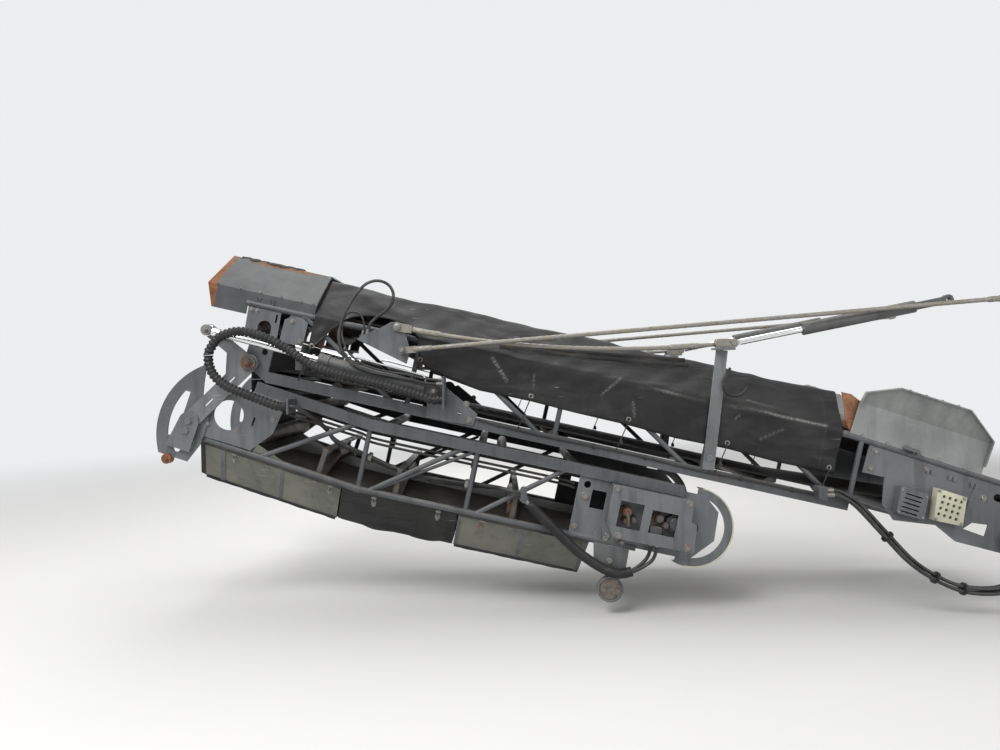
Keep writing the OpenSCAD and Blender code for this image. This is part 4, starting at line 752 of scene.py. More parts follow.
# what the hoses wear: a spiral wrap round the two drive hoses, and ties round the four feed hoses
driveCentre = smoothPath(driveLine(0, -720), 12) / 1000
driveWrap = piece("drive_hose_wrap", [tubePart(evenly(driveCentre[10:74], 0.004), 0.033, 24, wave=wrapTurns)],
                  "front", "sleeve_plastic", sharp=60)
feedCentre = smoothPath(feedLine(14, -727.5), 12) / 1000
feedWay = directions(feedCentre)
tieProfile = [[0, 0.036], [0, 0.0415], [0.016, 0.0415], [0.016, 0.036]]
ties = [turnedPart(tieProfile, feedCentre[k], feedWay[k], 28) for k in (62, 84, 96, 116)]
feedTies = piece("feed_hose_ties", ties, "base", "sleeve_plastic")
for name, (y, out) in feedHoses.items():
    hose(name, feedLine(out, y), "base", hoseLook["wide"])
for name, (y, shift) in driveHoses.items():
    hose(name, driveLine(shift, y), "front", hoseLook["wide"])
hose("cylinder_hose_1", loopRoute, "base", 0.02)
hose("cylinder_hose_2", shortRoute, "base", 0.014)
print("stage: hoses")

# Ribbed sleeve over the fold: two pieces that meet by the fold arms, riding on no body

sleeveRoute = np.array([
    [-3800, 960], [-3830, 960], [-3862, 960], [-3960, 992], [-4160, 1050], [-4400, 1105], [-4620, 1170],
    [-4810, 1290], [-4970, 1370], [-5120, 1400], [-5245, 1360], [-5306, 1275], [-5312, 1250]], float)
sleeveFrontRoute = np.array([
    [-5312, 1244], [-5306, 1180], [-5270, 1110], [-5190, 1045], [-5060, 990], [-4930, 940], [-4862, 916],
    [-4831, 916], [-4800, 916]], float)
sleeveLook = dict(across=-833, radius=0.0285, rib=0.0035, pitch=0.027, step=0.0045)


def ribs(run, angle):
    # radius change: a flat-topped wave along the run, with two pressed lines along the sides
    wave = np.cos(2 * np.pi * run / sleeveLook["pitch"])
    wave = np.sign(wave) * np.abs(wave) ** 0.45
    line = np.exp(-(np.cos(angle) / 0.16) ** 2)
    return sleeveLook["rib"] * wave * (1 - 0.75 * line) - 0.0012 * line


def sleeve(name, route, node):
    path = evenly(smoothPath(sideToSpace(route, sleeveLook["across"]), 12), sleeveLook["step"])
    part = tubePart(path, sleeveLook["radius"], 22, wave=ribs)
    thing = piece(name, [part], None, "sleeve_plastic", sharp=60, nodes=[node])
    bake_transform(thing)


sleeve("sleeve_base", sleeveRoute,
       "hose_sleeve_base")
sleeve("sleeve_front", sleeveFrontRoute,
       "hose_sleeve_front")
print("stage: sleeves")

# Stay ropes: laid strands over the plain rods, and pressed sleeves at the ends

ropeLook = dict(radius=0.0131, strand=0.0017, lay=0.095, count=6, slack=62)
barrelFoot = side("base", 1238, 80)
upperPin, lowerPin = side("base", 912, 441), side("base", 978, 297)
saddlePin, farEnd = np.array([-1896.0, 1327.0]), np.array([-47.0, 1628.0])
stayY, lowStayY, farY = 727, 759, 809


def strands(run, angle):
    # round strands that wind round the rope
    return ropeLook["strand"] * np.abs(np.cos(ropeLook["count"] / 2 * angle))


def rope(path):
    twist = 2 * np.pi / ropeLook["lay"] / 3
    return tubePart(evenly(path, 0.006), ropeLook["radius"], 30, wave=strands, twist=twist)


def swage(at, way, long, wide=0.0192):
    # pressed sleeve: a tapered collar, then flats with a shallow groove between them
    k = np.array([0, 0.04, 0.3, 0.33, 0.36, 0.62, 0.65, 0.68, 0.95, 1.0]) * long
    r = np.array([0.015 / wide, 1.0, 1.0, 0.93, 1.0, 1.0, 0.93, 1.0, 1.0, 0.78]) * wide
    return turnedPart(np.stack([k, r], -1), at, way, 20)


# the upper stays hang in a shallow parabola between the bracket's fork and the saddle's
hangFrom, hangTo = upperPin + [95, -18], saddlePin + [-235, -14]
k = np.linspace(0.05, 0.95, 60)[:, None]
sag = np.array([[0.0, 4 * ropeLook["slack"]]]) * k * (1 - k)
upper = sideToSpace(hangFrom + (hangTo - hangFrom) * k - sag, -stayY)
upperWay = directions(upper)
piece("upper_stay_strands",
      mirrored([rope(upper), swage(upper[3] - upperWay[3] * 0.155, upperWay[3], 0.16, 0.0196),
                swage(upper[-4] + upperWay[-4] * 0.155, -upperWay[-4], 0.16, 0.0196)]),
      "base", "rope_steel", sharp=50)
lowStart, lowEnd = np.array([[lowerPin[0], -lowStayY, lowerPin[1]], [farEnd[0], -farY, farEnd[1]]]) / 1000
lowLength = np.linalg.norm(lowEnd - lowStart)
lowWay = (lowEnd - lowStart) / lowLength
lower = lowStart + np.array([[0.19], [lowLength - 0.215]]) * lowWay
piece("lower_stay_strands",
      mirrored([rope(lower), swage(lowStart + 0.074 * lowWay, lowWay, 0.122),
                swage(lowStart + (lowLength - 0.096) * lowWay, -lowWay, 0.122)]),
      "low_stays", "rope_steel", sharp=50)
print("stage: ropes")

# Tarpaulins: a section of the cover carried along it, with folds added along its normal

coverLook = dict(start=350, end=3950, rows=420, half=64, round=26, sheet=0.0022, sag=13, highest=9, farSide=0.9,
                 bows=np.linspace(480, 3885, 5), bowReach=425)
coverCorners = np.array([[676, 80], [676, 408], [430, 665], [0, 668]], float)
# lower edge of the near and far skirts: distance along the section, height above the fold pin's line
skirtEdge = np.array([
    [350, 168], [366, 172], [400, 214], [470, 318], [544, 408], [600, 446], [660, 470], [740, 486],
    [830, 490], [930, 480], [1005, 448], [1055, 395], [1082, 300], [1120, 236], [1200, 196], [1316, 176],
    [1529, 146], [1870, 150], [2180, 138], [2538, 134], [2870, 116], [3213, 122], [3560, 106], [3909, 110],
    [3956, 108]], float)
eyeletsAt = np.array([[372, 196], [1096, 262], [1870, 184], [2538, 172], [3213, 160], [3909, 146]], float)
# raised folds and sharp creases: from (along, height) to (along, height), outward rise, width
foldLines = np.array([
    [1870, 184, 1700, 400, 7, 34], [1870, 184, 1990, 420, 6, 30], [1870, 184, 1500, 330, 5, 40],
    [1870, 184, 2230, 300, 5, 36], [2538, 172, 2380, 430, 7, 32], [2538, 172, 2700, 440, 6, 30],
    [2538, 172, 2900, 260, 5, 38], [2538, 172, 2200, 250, 5, 36], [3213, 160, 3080, 420, 6, 30],
    [3213, 160, 3420, 430, 6, 32], [3213, 160, 3600, 250, 4, 40], [3909, 146, 3740, 420, 6, 34],
    [3909, 146, 3500, 200, 4, 34], [1096, 262, 1230, 470, 7, 36], [1096, 262, 1420, 330, 6, 40],
    [372, 196, 470, 440, 8, 40], [372, 196, 620, 520, 7, 46], [1150, 500, 1420, 620, -6, 60],
    [2350, 640, 2700, 430, 5, 40], [1750, 620, 1500, 430, 5, 46], [3350, 640, 3150, 440, 5, 44],
    [650, 610, 980, 520, 6, 50]], float)
# pale rubbed lines: from (along, height) to (along, height), width, strength
rubLines = np.array([
    [3180, 412, 3840, 412, 5, 1.0], [2560, 404, 3010, 410, 4, 0.7], [1560, 380, 1690, 250, 7, 0.9],
    [2430, 430, 2330, 300, 6, 0.7], [2540, 300, 2570, 200, 6, 0.6], [3420, 230, 3560, 330, 5, 0.5],
    [3300, 470, 3560, 456, 4, 0.5], [1870, 250, 1860, 330, 5, 0.5], [3230, 330, 3260, 360, 5, 0.5],
    [3835, 120, 3835, 600, 2.5, 0.35], [560, 420, 380, 190, 9, 0.8], [1210, 470, 1330, 440, 4, 0.5]], float)


def nearLine(x, z, line):
    # for each point: how far it is from a line between two points, and how far along that line, from 0 to 1
    ax, az, bx, bz = line[:4]
    k = np.clip(((x - ax) * (bx - ax) + (z - az) * (bz - az)) / ((bx - ax) ** 2 + (bz - az) ** 2), 0, 1)
    return np.hypot(x - ax - k * (bx - ax), z - az - k * (bz - az)), k


def coverSection(step=2.0):
    # half of the cover's section, from the foot of the skirt to the middle, with its two corners rounded
    run = runOf(coverCorners)
    q = np.arange(0, run[-1], step)
    window = np.hanning(int(coverLook["round"] / step) * 2 + 1)
    window /= window.sum()
    y, t = (np.convolve(np.pad(np.interp(q, run, v), len(window) // 2, mode="reflect", reflect_type="odd"),
                        window, "valid") for v in coverCorners.T)
    y[-1] = 0
    return q, y, t


def sheetPiece(name, halves, body, node, q, width, along, wallOffset, scuff=None):
    # near half and far half, joined along the middle into one sheet with a map, rub marks and a thin wall
    points = np.concatenate([halves[0], halves[1][:, -2::-1]], axis=1)
    thing = piece(name, [gridPart(points)], body, "tarp_cloth", sharp=180, outwards=False, nodes=[node])
    addUv(thing, np.concatenate([q, width - q[:, -2::-1]], axis=1) / 1000, along / 1000)
    mark = thing.data.attributes.new("scuff", "FLOAT", "POINT")
    if scuff is not None:
        whole = np.concatenate([scuff, scuff[:, -2::-1]], axis=1)
        mark.data.foreach_set("value", whole.astype(np.float32).ravel())
    wall = thing.modifiers.new("wall", "SOLIDIFY")
    wall.thickness, wall.offset = coverLook["sheet"], wallOffset
    return thing


def tarpaulin():
    # points = section point + normal * (sag between the bows + folds + slow waves)
    look = coverLook
    q, sectionY, sectionT = coverSection()
    along = np.linspace(look["start"], look["end"], look["rows"])[:, None]
    edgeQ = np.interp(np.interp(along, *skirtEdge.T), sectionT, q)
    share = np.linspace(0, 1, look["half"])[None, :] ** 0.92
    at = edgeQ + (q[-1] - edgeQ) * share
    y, t = np.interp(at, q, sectionY), np.interp(at, q, sectionT)
    outY, outT = np.interp(at, q, np.gradient(sectionT, q)), np.interp(at, q, -np.gradient(sectionY, q))
    size = np.hypot(outY, outT)
    outY, outT = outY / size, outT / size
    along = np.broadcast_to(along, at.shape)
    gap = np.min(np.abs(along[..., None] - look["bows"]), axis=-1) / look["bowReach"]
    rise = -look["sag"] * np.clip((t - 400) / 120, 0, 1) * np.sin(np.clip(gap, 0, 1) * np.pi / 2) ** 2
    for line in foldLines:
        away, k = nearLine(along, t, line)
        rise = rise + line[4] * np.exp(-(away / line[5]) ** 2) * (1 - k) ** 0.6
    hang = np.clip((400 - t) / 90, 0, 1)
    rise = rise + hang * (5 * np.sin(along / 97 + 2.2 * np.sin(along / 310)) * np.sin(t / 80) - 3)
    rise = rise + 2.2 * np.sin(along / 61 + t / 45) * np.sin(along / 173 + 1.3)
    rise = rise + 1.4 * np.sin(along / 33 - t / 27)
    rise = np.minimum(rise, look["highest"])
    # the sheet lies flat round each eyelet
    for eyelet in eyeletsAt:
        flat = np.exp(-(np.hypot(along - eyelet[0], t - eyelet[1]) / 42) ** 2)
        rise = rise * (1 - flat) + 2 * flat
    rise = rise * np.clip((along - look["start"]) / 60, 0.15, 1)
    scuff = np.zeros(at.shape)
    for line in rubLines:
        away, k = nearLine(along, t, line)
        scuff = np.maximum(scuff, line[5] * np.exp(-(away / line[4]) ** 2))
    # the far side's folds are a little lower
    halves = [place("base", along, t + outT * lift, sign * (y + outY * lift))
              for sign, lift in ((-1, rise), (1, rise * look["farSide"]))]
    thing = sheetPiece("tarpaulin", halves, "base", "tarp_cover", at, 2 * q[-1], along[:, :1], -1, scuff)
    long = look["end"] - look["start"]
    area = 2 * float(np.sum(q[-1] - edgeQ) * long / look["rows"]) / 1e6
    return thing, (2 * q[-1] / 1000, long / 1000), area


cover, coverFlat, coverArea = tarpaulin()
eyelets, elastics = [], []
for along, above in eyeletsAt:
    centre = place("base", along, above, -679.5)
    eyelets += [ringPart(centre, (0, 1, 0), 0.0135, 0.0045),
                ringPart(centre + [0, 0.004, 0], (0, 1, 0), 0.011, 0.003)]
    down = np.array([[along, above - 4, -684], [along - 2, above - 20, -692], [along - 14, above - 90, -690],
                     [along - 34, -20, -686], [along - 40, -48, -684]])
    elastics += [smoothTube(place("base", *down.T), 8, 0.01, 0.0038, 8),
                 turnedPart([[0, 0.004], [0.004, 0.011], [0.03, 0.011], [0.036, 0.004]],
                            place("base", along - 24, 30, -690), (0.2, 0, -1), 12)]
eyeletPiece = piece("tarpaulin_eyelets", mirrored(eyelets), "base", "fitting_zinc")
piece("tarpaulin_elastics", mirrored(elastics), "base", "hose_rubber", "belt_rubber")
print("stage: tarpaulin", [round(v, 2) for v in coverFlat], round(coverArea, 2))


# height of the front covers' rails over each part's own line
coverLevel = {"front": -88, "head": -440}
frontCoverLook = dict(onFront=(1090, 1128, 6), onHead=(24, 690, 78), columns=50, sag=10, highest=4, farSide=0.8,
                      flatLong=0.72)


def frontTarpaulin():
    # the front cover's section carried along its two slopes, sagging between the stiff panels
    look = frontCoverLook
    corners = np.array([[654, -18], [430, -277], [0, -281]], float)
    run = runOf(corners)
    q = np.linspace(0, run[-1], look["columns"])[None, :]
    y, t = np.interp(q, run, corners[:, 0]), np.interp(q, run, corners[:, 1])
    first, second = np.linspace(*look["onFront"])[:, None], np.linspace(*look["onHead"])[:, None]
    along = np.concatenate([first - frontLong, second])
    slant = np.clip(q / run[1], 0, 1)
    wave = 9 * np.sin(along / 55 + 2 * slant) * np.sin(q / 190)
    wave = wave + 5 * np.sin(along / 23 + q / 60) * np.sin(q / 120)
    sag = -look["sag"] * np.sin((along - along[0]) / (along[-1] - along[0]) * np.pi) * slant
    sag = sag + np.minimum(wave, look["highest"]) * np.clip((along[-1] - along) / 80, 0, 1)
    halves = []
    for sign, lift in ((-1, sag), (1, sag * look["farSide"])):
        onFront = place("front", first, coverLevel["front"] + t + lift[:len(first)], sign * y)
        onHead = place("head", second, coverLevel["head"] + t + lift[len(first):], sign * y)
        halves.append(np.concatenate([onFront, onHead]))
    q = np.broadcast_to(q, sag.shape)
    thing = sheetPiece("front_tarpaulin", halves, "front", "front_tarp", q, 2 * run[-1], along, 1)
    return thing, (2 * run[-1] / 1000, look["flatLong"])


frontCover, frontFlat = frontTarpaulin()
print("stage: front tarpaulin")

# Fasteners: washers, hexagon heads and nuts, each turned or cut from a short profile

outNear = (0, -1, 0)


def washer(at, way, radius, thick=0.003):
    profile = [[0, radius], [thick * 0.7, radius], [thick, radius * 0.95], [thick, 0.002]]
    return turnedPart(profile, at, way, 24)


def hexHead(at, way, across, high):
    # a six-sided head with a chamfered top and a shallow dish
    r = across / 2
    profile = [[0, r], [high * 0.82, r], [high, r * 0.87], [high, r * 0.5], [high * 0.93, r * 0.42]]
    return turnedPart(profile, at, way, 6)


def bolt(at, way, size, washerScale=1.35, stud=0.0):
    # washer, head, and the end of the thread where it stands out of a nut
    way = np.asarray(way, float)
    parts = [washer(at, way, size * washerScale, size * 0.16),
             hexHead(at + way * size * 0.16, way, size * 1.9, size * 0.75)]
    if stud:
        parts.append(turnedPart([[0, size * 0.5], [stud * 0.85, size * 0.5], [stud, size * 0.42]],
                                at + way * size * 0.8, way, 16))
    return parts


def bolts(line, places, y, size, way=outNear):
    # bolts at places (along, above) on one part's line
    return sum((bolt(place(line, along, above, y), way, size) for along, above in places), [])


def inSpace(point, y):
    # one side-view point at a place across the width, in metres
    return np.array([point[0], y, point[1]]) / 1000


frontBolts = bolts("front", [(515, 184)], -680, 0.018) + bolts("front", [(110, 20), (160, 250)], -680, 0.014)
frontBolts += bolts("head", [(1500, -168)], -656, 0.02)
frontBolts += bolts("head", [(1470, -380), (1700, -395)], -656, 0.014)
guardBolts = bolts("head", [(1681, -62), (2166, -62), (2211, -345), (1751, -362)], -766, 0.017)
piece("front_bolts", mirrored(frontBolts) + guardBolts, "front", "fitting_zinc")

baseBolts = bolts("base", [(-78, 352), (-40, 352)], -655, 0.013)
baseBolts += bolts("base", [(205, 330), (285, 210)], -655, 0.014)
baseBolts += bolts("base", [(1460, 40), (1500, -60)], -695, 0.016)
baseBolts += bolts("tail", [(-1060, 300), (-1060, 180)], -656, 0.016)
baseBolts += bolts("tail", [(-700, 290)], -656, 0.014) + bolts("tail", [(-480, 20), (-280, 220)], -656, 0.018)
# upper stay's pin: a washer, and a domed cap with a groove for its ring
pinFace = inSpace(upperPin, -stayY - 26)
baseBolts.append(washer(pinFace, outNear, 0.029, 0.004))
capProfile = np.array([[0, 1], [0.45, 1], [0.5, 0.92], [0.6, 0.92], [0.65, 1], [0.85, 0.94], [1, 0.7],
                       [1.04, 0.024]])
baseBolts.append(turnedPart(capProfile * [0.012, 0.021], pinFace - [0, 0.004, 0], outNear, 24))
# threaded ends that stand out of the two large nuts
for pin, face in ((lowerPin, lowStayY + 26), (barrelFoot, 779)):
    baseBolts.append(turnedPart([[0, 0.0148], [0.012, 0.0148], [0.015, 0.0125], [0.0152, 0.0005]],
                                inSpace(pin, -face), outNear, 20))
piece("base_bolts", mirrored(baseBolts), "base", "fitting_zinc")

pinAt, eyeAt = starts["base"], side("base", *leverEnd)
hubParts = [washer(inSpace(pinAt, -730), outNear, 0.05, 0.008)]
hubParts += bolt(inSpace(pinAt, -738), outNear, 0.026, 1.3, 0.018)
piece("fold_pin_nuts", mirrored(hubParts), "base", "roll_steel")
rodParts = [washer(inSpace(eyeAt, -775), outNear, 0.034, 0.005)]
rodParts += bolt(inSpace(eyeAt, -780), outNear, 0.018, 1.3, 0.012)
piece("rod_eye_nuts", mirrored(rodParts), "fold_cylinder_rods", "fitting_zinc")
print("stage: fasteners")

# Covers of the front section: straps, toggle latches, the end flap and the rubber strips along the edges


def bandPart(line, along, outline, wide, thick):
    # a flat strap across the conveyor, along a section outline of (y, above) points, raised off the sheet
    outline = np.asarray(outline, float)
    run = runOf(outline)
    q = np.linspace(0, run[-1], 61)
    y, t = np.interp(q, run, outline[:, 0]), np.interp(q, run, outline[:, 1])
    section = np.stack([np.gradient(y), np.gradient(t)], -1)
    section /= np.linalg.norm(section, axis=1)[:, None]
    outY, outT = section[:, 1], -section[:, 0]
    rows = [(-wide / 2, 0), (-wide / 2, thick), (wide / 2, thick), (wide / 2, 0)]
    points = np.stack([place(line, along + s, t + outT * h, y + outY * h) for s, h in rows], axis=1)
    return gridPart(points, closeColumns=True)


def coverStrap(line, along, wide, thick, out=4):
    # a strap round the covers' outer section, from the near rail under the belt to the far rail
    level = coverLevel[line]
    near = [(-654 - out, level - 18), (-430 - out * 0.5, level - 277 - out)]
    return bandPart(line, along, near + [(-y, t) for y, t in near[::-1]], wide, thick)


straps = [coverStrap("front", 251, 32, 4), coverStrap("front", 668, 26, 3), coverStrap("head", 712, 26, 3),
          coverStrap("head", 1150, 26, 3), coverStrap("head", 1572, 32, 4)]
piece("cover_straps", straps, "front", "plate_paint", sharp=40)

# the covers' slanting side goes in by 224 mm and down by 259 mm
slant = np.array([224.0, -259.0]) / math.hypot(224, 259)


def onSlant(line, along, down, out):
    # a point on the covers' slanting side: a distance down the slant and out from the sheet's middle
    y = -654 + slant[0] * down + slant[1] * out
    t = coverLevel[line] - 18 + slant[1] * down - slant[0] * out
    return place(line, along, t, y)


def slantBox(line, along, half, downs, outs):
    corners = [(downs[0], outs[0]), (downs[1], outs[0]), (downs[1], outs[1]), (downs[0], outs[1])]
    return cappedPart(np.array([[onSlant(line, along + s, *c) for c in corners] for s in (-half, half)]))


# toggle latches: base plate, handle, bail and the hook above
latches = []
latchesAt = [("front", 330), ("front", 1010), ("head", 120), ("head", 560), ("head", 860), ("head", 1450)]
for line, along in latchesAt:
    latches += [slantBox(line, along, 17, (52, 98), (3, 7)), slantBox(line, along, 9, (62, 106), (7, 14)),
                slantBox(line, along, 16, (8, 24), (3, 15))]
    bail = onSlant(line, along + np.array([-8, -8, -5, 5, 8, 8]), np.array([74, 34, 22, 22, 34, 74]), 11)
    latches.append(tubePart(evenly(bail, 0.006), 0.0026, 8))
piece("cover_latches", mirrored(latches), "front", "fitting_zinc", bevel=0.0012)

coverBolts = []
for line, places in (("front", (420, 560, 780, 900)), ("head", (790, 960, 1060, 1280, 1380))):
    for along in places:
        coverBolts += bolt(onSlant(line, along, 26, 3), (0, slant[1], -slant[0]), 0.0095)
piece("cover_bolts", mirrored(coverBolts), "front", "fitting_zinc")


def rubberStrip(line, first, last):
    # soft edging along the covers' lower corner, slightly wavy
    along = np.linspace(first, last, 80)
    wave = 1.2 * np.sin(along / 47) + 0.8 * np.sin(along / 19)
    return barPart(place(line, along, coverLevel[line] - 278 + wave, -433 + wave * 0.4), 0.03, 0.01)


def lipStrip(line, first, last):
    # narrow strip along the covers' rail
    along = np.linspace(first, last, 60)
    return barPart(place(line, along, coverLevel[line] - 20 + 0.8 * np.sin(along / 31), -656), 0.03, 0.008)


edging = [rubberStrip("front", 130, 1075), rubberStrip("head", 705, 1586),
          lipStrip("front", 128, 1078), lipStrip("head", 704, 1586)]
# end flap: a short stiff curtain at the fold end of the covers
flapRim = ((127, 0), (88, 5), (88, 9), (127, 5))
for ends in (((-655, -104), (-432, -368)), ((-432, -368), (0, -371))):
    rows = [[place("front", along, t + lift, y) for y, t in ends] for along, lift in flapRim]
    edging.append(gridPart(np.array(rows), closeRows=True))
piece("cover_edging", mirrored(edging), "front", "belt_rubber", sharp=50)
print("stage: front covers")

# Hood: torn rubber strip along its top, bolts, and a stiffening band round its inner end by the sheet

stripLook = dict(first=-300, last=150, pieces=7)
rng = np.random.default_rng(4)
torn = []
edges = np.linspace(stripLook["first"], stripLook["last"], stripLook["pieces"] + 1)
for a, b in zip(edges[:-1], edges[1:]):
    along = np.linspace(a + 2, b - 2, 26)
    lift = 5 + 9 * rng.random() + 6 * np.sin(along / (17 + 9 * rng.random()) + rng.random() * 6)
    outer = 436 + 10 * rng.random() + 5 * np.sin(along / 21 + rng.random() * 6)
    low = 684 - 8 * rng.random() + lift * 0.4
    rows = [(694.5, -395), (696.5 + lift * 0.35, -425), (low, -outer), (low + 3, -outer + 1),
            (699.5 + lift * 0.35, -424), (697.5, -395)]
    torn.append(gridPart(np.stack([place("base", along, t, y) for t, y in rows]), closeRows=True))
piece("hood_rubber", torn, "base", "belt_rubber", sharp=50)
hoodBolts = bolts("base", [(a, 470) for a in (-330, -180, -40, 100, 240, 320)], -670, 0.008, (0, -1, 0.25))
hoodBolts += bolts("base", [(-60, 414), (60, 414)], -664, 0.009)
piece("hood_bolts", mirrored(hoodBolts), "base", "hood_paint")
flange = [(663, 404), (671, 465), (433, 693.5), (-433, 693.5), (-671, 465), (-663, 404)]
piece("hood_flange", [bandPart("base", 334, flange, 18, 4)], "base", "hood_paint", sharp=40)

# Rail clips near the end plates: a black bracket with two loops, and hose clips along the chord

clips = [slabPart("base", [(-62, 396), (78, 396), (78, 424), (-62, 424)], -655, -664)]
turn, loop = np.linspace(0, 2 * np.pi, 20), np.linspace(0.1, np.pi - 0.1, 14)
for along in (-38, 52):
    clips.append(tubePart(place("base", along + 15 * np.cos(turn), 432 + 15 * np.sin(turn), -664), 0.0045, 8))
for along in (1700, 2350, 2700, 3350, 3700):
    clip = place("base", along, -52 + 16 * np.cos(loop), -680 - 15 * np.sin(loop))
    clips.append(barPart(clip, 0.016, 0.003))
piece("rail_clips", mirrored(clips), "base", "hose_rubber", "belt_rubber", sharp=50)

# Dark cable clipped along the chord, which is painted shade: it stands for the shade in a groove along the
# chord; and two loose straps that lie along the cover
grooveShadeRoute = np.array([
    [1560, -44, -691], [1700, -52, -689], [2020, -60, -688], [2350, -52, -689], [2700, -52, -689],
    [3050, -60, -688], [3350, -52, -689], [3700, -52, -689], [3838, -50, -690]], float)
grooveShadePart = smoothTube(place("base", *grooveShadeRoute.T), 10, 0.015, 0.0065, 10)
piece("chord_groove_shade", mirrored([grooveShadePart]), "base", "hose_rubber", "belt_rubber", sharp=60)
coverTies = []
for first, low, last, high in ((1594, 485, 2874, 655), (1594, 462, 2900, 622)):
    k = np.linspace(0, 1, 90)
    above = low + (high - low) * k - 12 * np.sin(np.pi * k)
    out = np.interp(above, coverCorners[1:3, 1], coverCorners[1:3, 0]) + 7
    coverTies.append(barPart(place("base", first + (last - first) * k, above + 4, -out), 0.02, 0.006))
piece("cover_ties", coverTies, "base", "hose_rubber", "belt_rubber", sharp=50)
print("stage: hood and clips")

# Receiving end: small folded bracket, tabs, box rims and screws

bracket = [slabPart("tail", [(-900, 372), (-790, 372), (-790, 392), (-884, 400)], -664, -690),
           slabPart("tail", [(-900, 372), (-790, 372), (-790, 379), (-900, 379)], -664, -712)]
tabs = [slabPart("tail", [(a, 268), (a + 20, 268), (a + 20, 296), (a, 296)], -656, -668)
        for a in (-700, -666, -545, -511, -390, -356)]
piece("receiving_tabs", bracket + mirrored(tabs), "base", "plate_paint", bevel=0.0015)
boxRim = np.array([[-846, 126], [-664, 126], [-645, -36], [-827, -46], [-846, 126]], float)
boxRimPart = tubePart(evenly(place("tail", *boxRim.T, -708), 0.012), 0.0035, 8)
piece("box_rims", [boxRimPart], "base", "plate_paint", sharp=50)
screws = bolts("tail", [(-838, 112), (-672, 112), (-655, -28), (-820, -36)], -708, 0.0085)
screws += bolts("tail", [(-606, 176), (-434, 176), (-404, 10), (-574, -8)], -716, 0.0085)
screws += bolts("tail", [(along, 372) for along in (-1180, -1000, -820, -640, -460)], -660, 0.011)
piece("receiving_screws", screws, "base", "fitting_zinc")

# Rim turned outwards along the hopper's top edge, with its bolts, and the rusty skirt at its upper end
rimEdge = np.array([[-1260, 560, -666], [-1260, 652, -703], [-1073, 741, -751], [-595, 741, -751],
                    [-340, 597, -675], [-340, 420, -667]], float)
rimParts = [barPart(evenly(place("tail", *rimEdge[i:i + 2].T), 0.05), 0.009, 0.028, 0.4) for i in range(5)]
piece("hopper_rim", mirrored(rimParts), "base", "hopper_paint", sharp=50)
rimWay = place("tail", 0, 1, 0) - place("tail", 0, 0, 0)
rimBolts = bolts("tail", [(along, 745.5) for along in (-1010, -900, -790, -680)], -753, 0.0075, rimWay)
piece("rim_bolts", mirrored(rimBolts), "base", "fitting_zinc")
skirt = slabPart("tail", [(-1392, 612), (-1325, 618), (-1243, 588), (-1180, 503), (-1150, 402), (-1180, 374),
                          (-1256, 374), (-1303, 428), (-1352, 537)], -644, -634)
piece("skirt_ends", mirrored([skirt]), "base", "liner_rubber", bevel=0.003)

# Hose that hooks round the head of the saddle's strap
hook = np.array([
    [3118, 650, -700], [3106, 606, -706], [3094, 550, -712], [3108, 497, -716], [3160, 474, -716],
    [3222, 491, -710], [3258, 545, -700]], float)
hookPart = smoothTube(place("base", *hook.T), 10, 0.008, 0.0095, 12)
piece("strap_hose", [hookPart], "base", "hose_rubber", "belt_rubber", sharp=60)
print("stage: receiving end")

# Motor guard's fittings, ring guards' rims, and the lamp

fittings = []
for along, above, r in [(1786, -205, 0.03), (1836, -250, 0.022), (2004, -205, 0.028), (2051, -240, 0.024),
                        (1786, -268, 0.018)]:
    profile = [[0, r * 1.3], [0.02, r * 1.3], [0.022, r], [0.058, r], [0.06, r * 0.8], [0.074, r * 0.8],
               [0.076, 0.001]]
    fittings.append(turnedPart(profile, place("head", along, above, -664), outNear, 6 if r < 0.025 else 20))
elbow = np.array([[1786, -205, -735], [1786, -215, -752], [1794, -240, -757], [1804, -290, -756]], float)
fittings.append(smoothTube(place("head", *elbow.T), 8, 0.006, 0.012, 12))
piece("motor_fittings", fittings, "front", "roll_steel")

# half a circle round the head drum's middle, in the side view
ringLook = dict(along=2256, above=-224.5, radius=265.5, wire=0.0048)
turn = np.radians(np.linspace(88, -92, 60))
ringRim = place("head", ringLook["along"] + ringLook["radius"] * np.cos(turn),
                ringLook["above"] + ringLook["radius"] * np.sin(turn), -645)
piece("ring_rims", mirrored([tubePart(ringRim, ringLook["wire"], 8)]), "front", "yellow_paint", sharp=50)

lampCentre = place("head", 1786, -733, -690)
rimProfile = [[0, 0.087], [0.01, 0.087], [0.013, 0.084], [0.013, 0.076], [0.004, 0.073], [0.003, 0.001]]
piece("lamp_rim", [turnedPart(rimProfile, lampCentre, outNear, 48)], "front", "lamp_finish")
k = np.linspace(0, np.pi / 2, 12)
dome = np.stack([0.004 + 0.008 * np.cos(k), 0.001 + 0.07 * np.sin(k)], -1)[::-1]
piece("lamp_lens", [turnedPart(dome, lampCentre, outNear, 48)], "front", "lamp_finish", "lamp_lens", sharp=60)
lampBolts = bolts("head", [(1690, -420), (1800, -420)], -666, 0.014)
lampBolts += bolts("head", [(1745, -560)], -666, 0.016)
piece("lamp_bolts", lampBolts, "front", "fitting_zinc")

# Second brace beside a diagonal, and two pipes inside the front truss
brace = place("head", np.array([112, 706]), np.array([-424, -40]), -640)
piece("second_braces", mirrored([tubePart(evenly(brace, 0.05), 0.012, 12)]), "front", "frame_paint")
pipeFront = np.array([[470, 250], [520, 262], [900, 268], [1080, 272]], float)
pipeHead = np.array([[60, -92], [600, -96], [1300, -96], [1420, -110]], float)
pipePath = np.vstack([place("front", *pipeFront.T, -609), place("head", *pipeHead.T, -609)])
pipes = [smoothTube(pipePath - [0, 0, lower], 8, 0.02, 0.009, 10) for lower in (0, 0.03)]
piece("front_pipes", pipes, "front", "hose_rubber", "belt_rubber", sharp=60)

